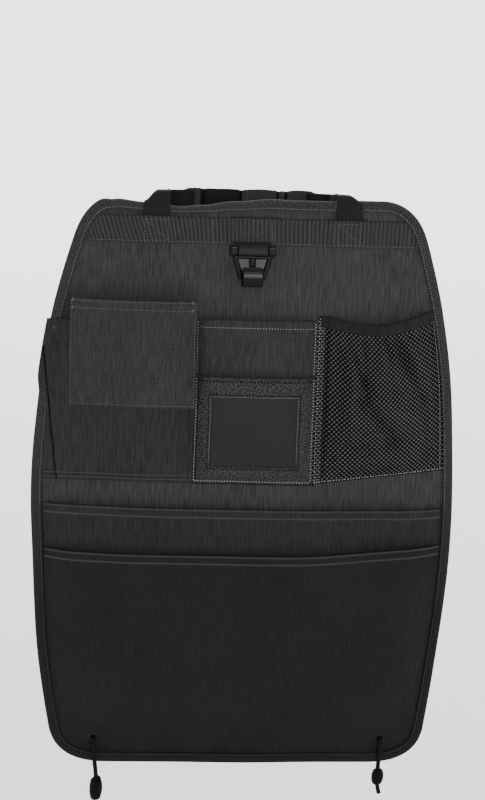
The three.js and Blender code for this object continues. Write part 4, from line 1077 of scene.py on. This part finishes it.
def pleated_place(u, v):
    z = ROW_FOOT + v * (pleated.top - ROW_FOOT)
    left = -sewn_half(z) - 8.5 * pleat_reach(z)
    fold, depth = max(fold_x(z), left + 3), fold_depth(z)
    if u < GROOVE_FROM:
        x, sunk = left + (fold - GROOVE - left) * u / GROOVE_FROM, 2.6
    elif u < GROOVE_TO:
        share = (GROOVE_TO - u) / (GROOVE_TO - GROOVE_FROM)
        x, sunk = fold - GROOVE * share, 5.0 * share
    else:
        x, sunk = fold + (PATCH_RIGHT - fold) * (u - GROOVE_TO) / (1 - GROOVE_TO), 0
    return spot(x, pleated_front(x, z) - sunk * depth, z)


def patch_front(x, z):
    edge = beside(patch, x, z)
    waves = 0.5 * ripple(x, z, 40, 60, 22) * rise(edge, 25)
    return 13.4 + CLOTH + patch.stand(x, z) + hem_step(z, PATCH_TOP, 9) + waves + pucker(
        x, z, edge, z - PATCH_FOOT, 0.2)


def placed_by(pocket, front):
    def place(u, v):
        x, z = pocket.at(u, v)
        return spot(x, front(x, z), z)
    return place


def lay_pocket(name, place, across, up, finish, slot, node, flat, thickness=0.9, **rest):
    """Lays a pocket's cloth on a grid of so many faces."""
    piece = piece_of(lay(flat_grid(across, up), place), name, finish, slot, [node], thickness)
    return piece


pleats = lay_pocket("pleated_cloth", pleated_place, 200, 90, POCKET, "ribbed_cloth", "pleated_pocket", (0.2, 0.19))
# The faces in the pleat's groove take the painted shade finish: a painted shadow line along the fold.
second_finish(pleats, PAINTED_SHADE,
              lambda x, z: abs(x - fold_x(z) + GROOVE / 2) < GROOVE * 0.75 and fold_depth(z) > 0.4)
lay_pocket("patch_cloth", placed_by(patch, patch_front), 90, 80, PLAIN, "smooth_cloth", "patch_pocket",
           (0.137, 0.126))

# %% Sew the left pockets
thread, tacks = bmesh.new(), bmesh.new()
left_x, right_x = PATCH_RIGHT - PATCH_WIDE + SEAM_OFF, PATCH_RIGHT - SEAM_OFF
for corners in (((left_x, -104), (right_x, -104)), ((left_x, -112.4), (right_x, -112.4)),
                ((left_x, -104), (left_x, -216.5), (right_x, -216.5), (right_x, -104))):
    sew(thread, seam(patch_front, *corners))
for x in (left_x + 1.5, right_x - 2.5):
    for z in (-104.5, -112.8):
        tack(tacks, patch_front, x, z, 3.8, 2.6)
piece_of(tacks, "patch_tacks", SOFT_THREAD, "tape")
piece_of(thread, "patch_stitches", SOFT_THREAD, "tape")
thread = bmesh.new()
for level in (-294.6, -299.8):
    sew(thread, seam(pleated_front, (-sewn_half(level) + 8, level), (PATCH_RIGHT - 2, level)))
sew(thread, seam(pleated_front, (-half_width(-136) + 2, -136.4), (-197, -136.4)))
piece_of(thread, "pleated_stitches", SOFT_THREAD, "tape")

# %% [markdown]
# ## The centre pocket and its window
# A clear sheet behind a frame of tape makes the window pocket. The frame is one grid with the faces of its
# opening taken out, and its inner edge rolls inwards as folded tape does.

# %% Lay the centre pocket
def centre_front(x, z):
    edge = beside(centre, x, z)
    waves = 0.35 * ripple(x, z, 35, 50, 31) * rise(edge, 20)
    return FACE + 1.0 + centre.stand(x, z) + hem_step(z, CENTRE_TOP, 8.5, 0.4) + waves + pucker(
        x, z, edge, z - ROW_FOOT, 0.15)


lay_pocket("centre_cloth", placed_by(centre, centre_front), 90, 110, PLAIN, "smooth_cloth", "centre_pocket",
           (0.132, 0.186))

# %% Lay the window frame and its pane
OPEN_LEFT, OPEN_RIGHT, OPEN_FOOT, OPEN_TOP = -41, 54.2, -282, -205
TAPE_STEPS, OPEN_STEPS = 14, 24


def frame_stand(x, z):
    return FACE + centre.stand(x, z) + LAYER + 0.9 + window.stand(x, z)


def frame_front(x, z):
    inside = max(OPEN_LEFT - x, x - OPEN_RIGHT, OPEN_FOOT - z, z - OPEN_TOP)
    roll = 0.9 * math.exp(-max(inside, 0) / 0.7)
    return frame_stand(x, z) + CLOTH - roll + 0.1 * ripple(x, z, 9, 9, 33)


def frame_marks(low, high, inner_low, inner_high):
    """Places across the frame: they crowd towards its opening, and are even in between."""
    steps = range(TAPE_STEPS)
    left = [low + (inner_low - low) * (1 - (1 - i / TAPE_STEPS) ** 1.6) for i in steps]
    middle = [inner_low + (inner_high - inner_low) * i / OPEN_STEPS for i in range(OPEN_STEPS)]
    end = [inner_high + (high - inner_high) * (i / TAPE_STEPS) ** 1.6 for i in (*steps, TAPE_STEPS)]
    return left + middle + end


COLUMNS = frame_marks(CENTRE_LEFT, CENTRE_RIGHT, OPEN_LEFT, OPEN_RIGHT)
ROWS = frame_marks(ROW_FOOT, WINDOW_TOP, OPEN_FOOT, OPEN_TOP)


def frame_at(u, v):
    return COLUMNS[round(u * (len(COLUMNS) - 1))], ROWS[round(v * (len(ROWS) - 1))]


def frame_place(u, v):
    x, z = frame_at(u, v)
    return spot(x, frame_front(x, z), z)


def in_opening(face):
    steps = [(place + 1) / 2 * (len(ROWS) - 1) for place in face.calc_center_median().xy]
    return all(TAPE_STEPS < step < TAPE_STEPS + OPEN_STEPS for step in steps)


cloth = flat_grid(len(COLUMNS) - 1, len(ROWS) - 1)
bmesh.ops.delete(cloth, geom=[face for face in cloth.faces if in_opening(face)], context="FACES")


def mitred(u, v):
    """Flat coordinates that run along each side of the frame, so that its weave meets in mitres."""
    x, z = frame_at(u, v)
    sides = (x - CENTRE_LEFT, CENTRE_RIGHT - x, z - ROW_FOOT, WINDOW_TOP - z)
    near = sides.index(min(sides))
    return (sides[near], z if near < 2 else x)


border = piece_of(lay(cloth, frame_place, mitred), "window_tape", FRAME_TAPE, "tape", ["window_frame"], 1.0)


def clear_finish():
    finish = Finish("clear_sheet", IOR=1.45, Specular_IOR_Level=0.18)
    x, y = finish.along()
    haze = finish.cloud(finish.joined(x * 0.03, y * 0.03), 1.0)
    scuff = finish.cloud(finish.joined(x * 0.5, y * 0.06), 4.0)
    finish.set("Base Color", finish.shade(haze, grey(0.007), grey(0.01)))
    finish.set("Roughness", 0.4 + haze * 0.1 + scuff * 0.04)
    finish.set("Alpha", 0.9 + haze * 0.04)
    return finish.material


PANE_UNDER = 5


def pane_place(u, v):
    x = OPEN_LEFT - PANE_UNDER + (OPEN_RIGHT - OPEN_LEFT + 2 * PANE_UNDER) * u
    z = OPEN_FOOT - PANE_UNDER + (OPEN_TOP - OPEN_FOOT + 2 * PANE_UNDER) * v
    inside = min(x - OPEN_LEFT, OPEN_RIGHT - x, z - OPEN_FOOT, OPEN_TOP - z)
    buckle = 0.25 * ripple(x, z, 40, 30, 35) * smooth(inside / 8)
    return spot(x, frame_stand(x, z) - 0.35 + buckle, z)


piece_of(lay(flat_grid(60, 50), pane_place), "window_pane", clear_finish(), "clear_sheet", ["clear_window"], 0.5)

# %% Sew the centre pocket and the window frame
DOTS = dict(pitch=3.2, length=1.35, width=1.45)
DASHES = dict(pitch=3.3, length=1.8, width=2.0)
BORDER_TOP = WINDOW_TOP - 2
thread, dark = bmesh.new(), bmesh.new()
sew(thread, seam(centre_front, (CENTRE_LEFT + 4, -130.6), (CENTRE_RIGHT - 4, -130.6)))
sew(thread, seam(centre_front, (CENTRE_LEFT + 1.6, -124), (CENTRE_LEFT + 1.6, WINDOW_TOP + 1)), 3.2, 1.4, 1.0)
sew(thread, seam(centre_front, (CENTRE_RIGHT - 2, -124), (CENTRE_RIGHT - 2, WINDOW_TOP + 1)), **DOTS)
sew(thread, seam(frame_front, (CENTRE_LEFT + 1.2, BORDER_TOP), (CENTRE_LEFT + 1.2, -300.6),
                 (CENTRE_RIGHT - 1.6, -300.6)), **DOTS)
sew(thread, seam(frame_front, (CENTRE_RIGHT - 2, -300), (CENTRE_RIGHT - 2, BORDER_TOP)), **DOTS)
sew(dark, seam(frame_front, (CENTRE_LEFT + 4, WINDOW_TOP - 4.4), (CENTRE_RIGHT - 4, WINDOW_TOP - 4.4)), **DASHES)
left, far, foot, top = OPEN_LEFT - 2.7, OPEN_RIGHT + 2.7, OPEN_FOOT - 2.7, OPEN_TOP + 2.7
sew(dark, seam(frame_front, (left, top), (far, top), (far, foot), (left, foot), (left, top)), **DASHES)
left, far, foot, top = OPEN_LEFT - 0.4, OPEN_RIGHT + 0.4, OPEN_FOOT + 4, OPEN_TOP + 0.4
for name, radius, finish, path in (
        # A dark tube down the frame's left side is a painted shadow line.
        ("frame_painted_shadow_line", 0.7, DARK_THREAD,
         seam(frame_front, (CENTRE_LEFT + 3.2, BORDER_TOP), (CENTRE_LEFT + 3.2, -298.8), lift=-0.1)),
        # A dark tube along the pocket's foot is its folded edge and a painted shadow beneath it.
        ("foot_edge_and_painted_shadow", 0.8, DARK_THREAD,
         seam(centre_front, (CENTRE_LEFT + 0.5, ROW_FOOT - 0.3), (CENTRE_RIGHT + 2, ROW_FOOT - 0.3), lift=1.4)),
        # A lighter, glossier tube along the opening's sides and top is the tape's rolled lip with a painted
        # highlight.
        ("window_lip_painted_highlight", 0.5, HEM_THREAD,
         seam(frame_front, (left, foot), (left, top), (far, top), (far, foot), lift=-0.1))):
    sweep(name, path, radius, finish, "tape", steps=8)
piece_of(thread, "centre_stitches", THREAD, "tape")
piece_of(dark, "window_stitches", DARK_THREAD, "tape")

# %% [markdown]
# ## The mesh pocket
# The mesh is knitted: knots in staggered rows, joined by slanting strands, with diamond holes between. A
# grid turned by 45 degrees has just that layout. Each cell is inset, and what is inside the inset is
# deleted, which leaves the strands, and a small grain on each corner of the grid is a knot.

# %% The lie of the mesh, with its belly, gathers and creases
MESH_TOP, MESH_INNER = -117, 83.7
CREASES = [
    ((105, -136), (129, -191), -3.0, 4.0), ((125, -140), (127.5, -208), -3.5, 4.0),
    ((146, -134), (156, -155), -2.5, 4.0), ((160, -138), (195, -205), -6.0, 6.5),
    ((195, -205), (203, -275), -4.0, 6.0), ((170, -139), (200, -182), 2.5, 6.0),
    ((122, -205), (166, -252), -4.5, 6.5), ((135, -203), (188, -226), 3.5, 13.0),
    ((92, -262), (188, -248), -3.5, 8.0), ((100, -277), (192, -270), 2.5, 11.0),
    ((95, -150), (100, -235), -2.5, 7.0), ((113, -150), (112, -240), 2.0, 8.0),
]


def creased(x, z):
    """Valleys and ridges of the loose mesh: each has a line, a height and a width."""
    height = 0.0
    for (ax, az), (bx, bz), tall, width in CREASES:
        length = math.hypot(bx - ax, bz - az)
        along = ((x - ax) * (bx - ax) + (z - az) * (bz - az)) / length
        off = abs((x - ax) * (bz - az) - (z - az) * (bx - ax)) / length
        fade = smooth((along + 10) / 14) * smooth((length + 12 - along) / 22)
        height += tall * fade * math.exp(-(off / width) ** 1.5)
    return height


def mesh_top(share):
    return MESH_TOP + 9 * share ** 3 - 8 * math.sin(math.pi * share)


MESH_UPRIGHT = [(0, 0), (0.08, 0.45), (0.25, 0.85), (0.5, 1), (0.8, 0.86), (1, 0.55)]


def mesh_spot(across, height, extra=0.0):
    guess = ROW_FOOT + height * (MESH_TOP - ROW_FOOT)
    edge, outer = sewn_half(guess), bound_half(guess) - 4
    x = MESH_LEFT + across * (edge - MESH_LEFT)
    share = clamp((x - MESH_INNER) / (outer - MESH_INNER))
    foot = mesh_foot(x)
    z = foot + height * (mesh_top(share) - foot)
    belly = math.sin(math.pi * share) ** 0.7 if 0 < share < 1 else 0.0
    gather = 1.8 * height ** 3 * math.sin(share * math.pi * 13 + 3 * ripple(x, z, 20, 40, 41)) * belly
    slack = 1.5 * ripple(x, z, 22, 28, 42) * belly
    depth = FACE + 22 * belly * between(MESH_UPRIGHT, height) + gather + slack + 1.35 * creased(x, z) * belly
    fold = 1.6 * math.exp(-((x - MESH_INNER - 1.5) / 1.5) ** 2)
    return spot(x, max(depth - fold, FACE - 0.6) + extra, z)


# %% Knit the mesh
KNOT_ACROSS, KNOT_UP = 5.3, 5.5
MESH_WIDTH, MESH_HEIGHT = 154.0, 186.0


def yarn_finish(name, dark, light, roughness, shine):
    finish = Finish(name, Specular_IOR_Level=shine)
    fibre, broad = finish.specks(1500.0, 3.0), finish.specks(25.0)
    return finish.dress(fibre * 0.6 + broad * 0.4, dark, light, roughness + fibre * 0.15, fibre, 0.12)


def net_grid():
    reach = math.ceil(MESH_WIDTH / KNOT_ACROSS + MESH_HEIGHT / KNOT_UP) + 2
    net = bmesh.new()
    bmesh.ops.create_grid(net, x_segments=reach, y_segments=reach, size=reach / 2)
    net.loops.layers.uv.new("cloth")
    turn = Matrix(((KNOT_ACROSS / 2, -KNOT_ACROSS / 2, 0), (KNOT_UP / 2, KNOT_UP / 2, 0), (0, 0, 1)))
    bmesh.ops.transform(net, matrix=turn.to_4x4(), verts=net.verts)
    bmesh.ops.translate(net, verts=net.verts, vec=(MESH_WIDTH / 2, MESH_HEIGHT / 2, 0))
    for at, way in (((0, 0, 0), (-1, 0, 0)), ((MESH_WIDTH, 0, 0), (1, 0, 0)),
                    ((0, 0, 0), (0, -1, 0)), ((0, MESH_HEIGHT, 0), (0, 1, 0))):
        everything = [*net.verts, *net.edges, *net.faces]
        bmesh.ops.bisect_plane(net, geom=everything, plane_co=at, plane_no=way, clear_outer=True)
    return net


net = net_grid()
knots = [(v.co.x / MESH_WIDTH, v.co.y / MESH_HEIGHT) for v in net.verts if len(v.link_edges) == 4]
cells = [face for face in net.faces if face.calc_area() > 9]
rims = set(bmesh.ops.inset_individual(net, faces=cells, thickness=1.05, use_even_offset=True)["faces"])
bmesh.ops.delete(net, geom=[face for face in cells if face not in rims], context="FACES")
layer = net.loops.layers.uv.active
for face in net.faces:
    for loop in face.loops:
        loop[layer].uv = loop.vert.co.xy
for vert in net.verts:
    vert.co = mesh_spot(vert.co.x / MESH_WIDTH, vert.co.y / MESH_HEIGHT, 1.0) * MM
YARN = yarn_finish("mesh_yarn", 0.001, 0.006, 0.6, 0.15)
mesh_net = piece_of(net, "mesh_strands", YARN, "mesh", ["mesh_wall"], 0.8)

beads = bmesh.new()
for across, height in knots:
    where = mesh_spot(across, height, 1.1)
    lean = (mesh_spot(across + 0.01, height) - mesh_spot(across - 0.01, height)).normalized()
    up = (mesh_spot(across, height + 0.01) - mesh_spot(across, height - 0.01)).normalized()
    turn = Matrix((lean, -lean.cross(up), up)).transposed().to_4x4()
    bead(beads, where, turn, (1.3, 0.5, 1.05))
# The knots are the strands' own yarn drawn much lighter: their gloss is real, their lighter colour is a painted
# highlight.
mesh_knots = piece_of(beads, "mesh_knots", yarn_finish("knot_yarn_painted_glint", 0.03, 0.11, 0.32, 0.45), "mesh")
print("knots in the mesh:", len(knots))

# %% Case the elastic hem
def hem_place(u, v):
    across = 0.02 + 0.94 * u
    turn = 2 * math.pi * v
    share = clamp((MESH_LEFT + across * 146 - MESH_INNER) / 120)
    loose = math.sin(math.pi * share)
    gather = 0.5 * math.sin(u * 75 + 4 * ripple(u * 100, 0, 9, 1, 51)) * loose
    foot = 1 - 12.5 / 186
    height = foot + (1 - foot) * (0.5 + 0.5 * math.cos(turn))
    point = mesh_spot(across, height, 1.0)
    point.z += 1.3 * ripple(u * 140, 0, 17, 1, 53) * loose + 0.8
    crown = 1.25 * math.sin(turn) + 0.5 * math.exp(-((height - foot) / 0.02) ** 2)
    return point + Vector((0, -crown - 0.35 + gather * (math.sin(turn) > 0), 0))


piece_of(lay(flat_grid(260, 18), hem_place, lambda u, v: (u * 140, v * 27), join=True), "elastic_hem",
         HEM, "tape", ["mesh_hem"])

# %% Sew the mesh pocket
def mesh_column(across):
    return [mesh_spot(across, i / 80, 1.6) for i in range(81)]


thread, flange = bmesh.new(), bmesh.new()
sew(thread, [mesh_spot(i / 80, 0.012, 1.6) for i in range(81)], **DOTS)
sew(thread, mesh_column(0.012), **DOTS)
sew(thread, mesh_column(0.93)[::-1], pitch=2.7)
for across in (0.028, 0.044):
    sew(flange, mesh_column(across), **DOTS)
piece_of(thread, "mesh_stitches", THREAD, "tape")
piece_of(flange, "flange_stitches", MID_THREAD, "tape")

# %% [markdown]
# ## The two wide pockets
# They reach from binding to binding and down to the foot of the panel, the darker one in front. Their hems
# sag a little, and slow folds hang from the places where the sides are caught.

# %% Lay the wide pockets
def hem_line(x, z, top, lift):
    share = clamp((z - FOOT) / (top - FOOT))
    return share * (lift * smooth((x - 60) / 150) - 1.5 * (1 - (x / HALF) ** 2))


def swell(row, x, z):
    """The wide pockets rise slowly from the foot of the panel and quickly from their sides."""
    return row.gape * rise(sewn_half(z) - WIDE_SEAM_IN - abs(x), WIDE_RUN) * smooth((z + 616) / 110)


def wide_lie(row, x, z, folds):
    """How a wide pocket lies on what is under it: its swell, hem, slow folds and gathers."""
    edge = sewn_half(z) - WIDE_SEAM_IN - abs(x)
    loose = folds * rise(edge, 60) * smooth((z + 612) / 70)
    return swell(row, x, z) + hem_step(z, row.top, 9) + loose + pucker(x, z, edge, z + 600, 0.22)


def long_front(x, z):
    folds = 0.9 * ripple(x, z, 70, 160, 61) + 0.35 * ripple(x + 0.4 * z, z, 26, 120, 62)
    return FACE + CLOTH + wide_lie(long_row, x, z, folds)


def main_front(x, z):
    folds = 1.1 * ripple(x, z, 80, 170, 63) + 0.4 * ripple(x - 0.5 * z, z, 30, 130, 64)
    return FACE + swell(long_row, x, z) + LAYER + CLOTH + wide_lie(main_row, x, z, folds)


def wide_spot(row, front, lift, x, z, extra=0.0):
    point = spot(x, front(x, z) + extra, z)
    point.z += hem_line(x, z, row.top, lift)
    return point


def wide_place(row, front, lift):
    def place(u, v):
        x, z = row.at(u, v ** CROWDING)
        return wide_spot(row, front, lift, x, z)
    return place


CROWDING = 1.35  # the rows of the grid crowd towards the rounded bottom corners
MAIN_LIFT = 9  # the main pocket's hem is drawn up at its right end


lay_pocket("long_cloth", wide_place(long_row, long_front, 0), 200, 110, LOWER, "ribbed_cloth", "long_pocket",
           (0.465, 0.3), 1.0, area=0.133)
lay_pocket("main_cloth", wide_place(main_row, main_front, MAIN_LIFT), 200, 110, DARK, "dark_cloth", "main_pocket",
           (0.465, 0.25), 1.0, area=0.108)

# %% Sew the wide pockets
for name, row, front, lift in (("long_stitches", long_row, long_front, 0),
                               ("main_stitches", main_row, main_front, MAIN_LIFT)):
    thread = bmesh.new()
    for level in (row.top - 1.3, row.top - 9.6):
        half = sewn_half(level) - 8
        zigzag(thread, [wide_spot(row, front, lift, half * (2 * i / 120 - 1), level, 0.05) for i in range(121)],
               swing=1.5)
    piece_of(thread, name, HEM_THREAD, "tape")

# %% [markdown]
# ## The eyelets
# An eyelet is pressed from thin metal: a barrel through all the layers with a rolled rim in front, set in a
# washer behind. Spinning its section round the barrel's axis makes it, with enough steps to look round.

# %% Spin the eyelets and their washers
def lacquer_finish():
    finish = Finish("black_lacquer", Specular_IOR_Level=0.25)
    wear = finish.specks(350.0, 4.0)
    return finish.dress(wear ** 3.0, 0.002, 0.02, 0.3 + wear * 0.2, wear, 0.02)


LACQUER = lacquer_finish()


def spun(name, side, section, nodes):
    at = eyelet(side)
    ring = bmesh.new()
    verts = [ring.verts.new((at + Vector((radius, -depth, 0))) * MM) for radius, depth in section]
    edges = [ring.edges.new((a, b)) for a, b in zip(verts, verts[1:] + verts[:1])]
    bmesh.ops.spin(ring, geom=verts + edges, cent=at * MM, axis=(0, 1, 0), angle=2 * math.pi, steps=40,
                   use_merge=True)
    bmesh.ops.remove_doubles(ring, verts=ring.verts, dist=1e-7)
    bmesh.ops.recalc_face_normals(ring, faces=ring.faces)
    return piece_of(ring, name, LACQUER, "eyelet_metal", nodes)


def rolled(radius, depth, roll, count=8):
    """The rim's rolled front: half a circle from its outer side to its inner side."""
    turns = [math.pi * i / count for i in range(count + 1)]
    return [(radius + roll * math.cos(turn), depth + roll * math.sin(turn)) for turn in turns]


for side, label in SIDES:
    barrel = [(2.7, -1.9), (3.5, -1.9), (3.5, RIM - 1.3), (5.3, RIM - 1.3),
              *rolled(4.3, RIM - RIM_ROLL, RIM_ROLL)[:-1], (2.7, RIM - 1.0)]
    spun(f"rolled_eyelet_{label}", side, barrel, [f"eyelet_{label}"])
    spun(f"set_washer_{label}", side, [(3.8, -0.8), (5.5, -0.8), (5.4, -1.2), (5.0, -1.5), (3.8, -1.7)],
         [f"washer_{label}"])

# %% [markdown]
# ## The room and the light
# A pale floor, a pale room and soft light from the front leave the cloth to speak for itself. The large soft
# light in front is what the glossy hook mirrors, and a wide lamp far behind keeps the floor pale up to its edge.

# %% Build the room and light it
FLOOR = -0.69
ground = bmesh.new()
bmesh.ops.create_grid(ground, x_segments=8, y_segments=8, size=15)
bmesh.ops.translate(ground, verts=ground.verts, vec=(0, 0, FLOOR))
floor_data = bpy.data.meshes.new("floor")
ground.to_mesh(floor_data)
ground.free()
floor = bpy.data.objects.new("floor", floor_data)
bpy.context.scene.collection.objects.link(floor)
floor_data.materials.append(Finish("pale_floor", Roughness=0.8, Base_Color=(0.86, 0.86, 0.86, 1)).material)


for name, place, aim, size, power in (
        ("key", (0.3, -2.9, 0.4), (0, 0, -0.25), 0.85, 31),
        ("side", (1.7, -1.8, 1.5), (0, 0, -0.2), 0.8, 7),
        ("ceiling", (0, 12.5, 6.0), (0, 12.5, 0), 24.0, 7000)):
    lamp = bpy.data.lights.new(name, "AREA")
    lamp.shape, lamp.size, lamp.energy = "SQUARE", size, power
    light = bpy.data.objects.new(name, lamp)
    light.location = place
    light.rotation_mode = "QUATERNION"
    light.rotation_quaternion = (Vector(aim) - Vector(place)).to_track_quat("-Z", "Y")
    bpy.context.scene.collection.objects.link(light)


def pale_world():
    """Bright round the horizon, where the room is seen, and dimmer overhead."""
    world = bpy.data.worlds.new("pale_room")
    world.use_nodes = True
    tree = world.node_tree
    place = tree.nodes.new("ShaderNodeTexCoord")
    apart = tree.nodes.new("ShaderNodeSeparateXYZ")
    fade = tree.nodes.new("ShaderNodeMapRange")
    fade.inputs["From Min"].default_value, fade.inputs["From Max"].default_value = 0.09, 0.25
    fade.inputs["To Min"].default_value, fade.inputs["To Max"].default_value = 3.0, 0.45
    tree.links.new(place.outputs["Generated"], apart.inputs[0])
    tree.links.new(apart.outputs["Z"], fade.inputs["Value"])
    tree.links.new(fade.outputs[0], tree.nodes["Background"].inputs["Strength"])
    tree.nodes["Background"].inputs["Color"].default_value = (1, 1, 1, 1)
    return world


bpy.context.scene.world = pale_world()
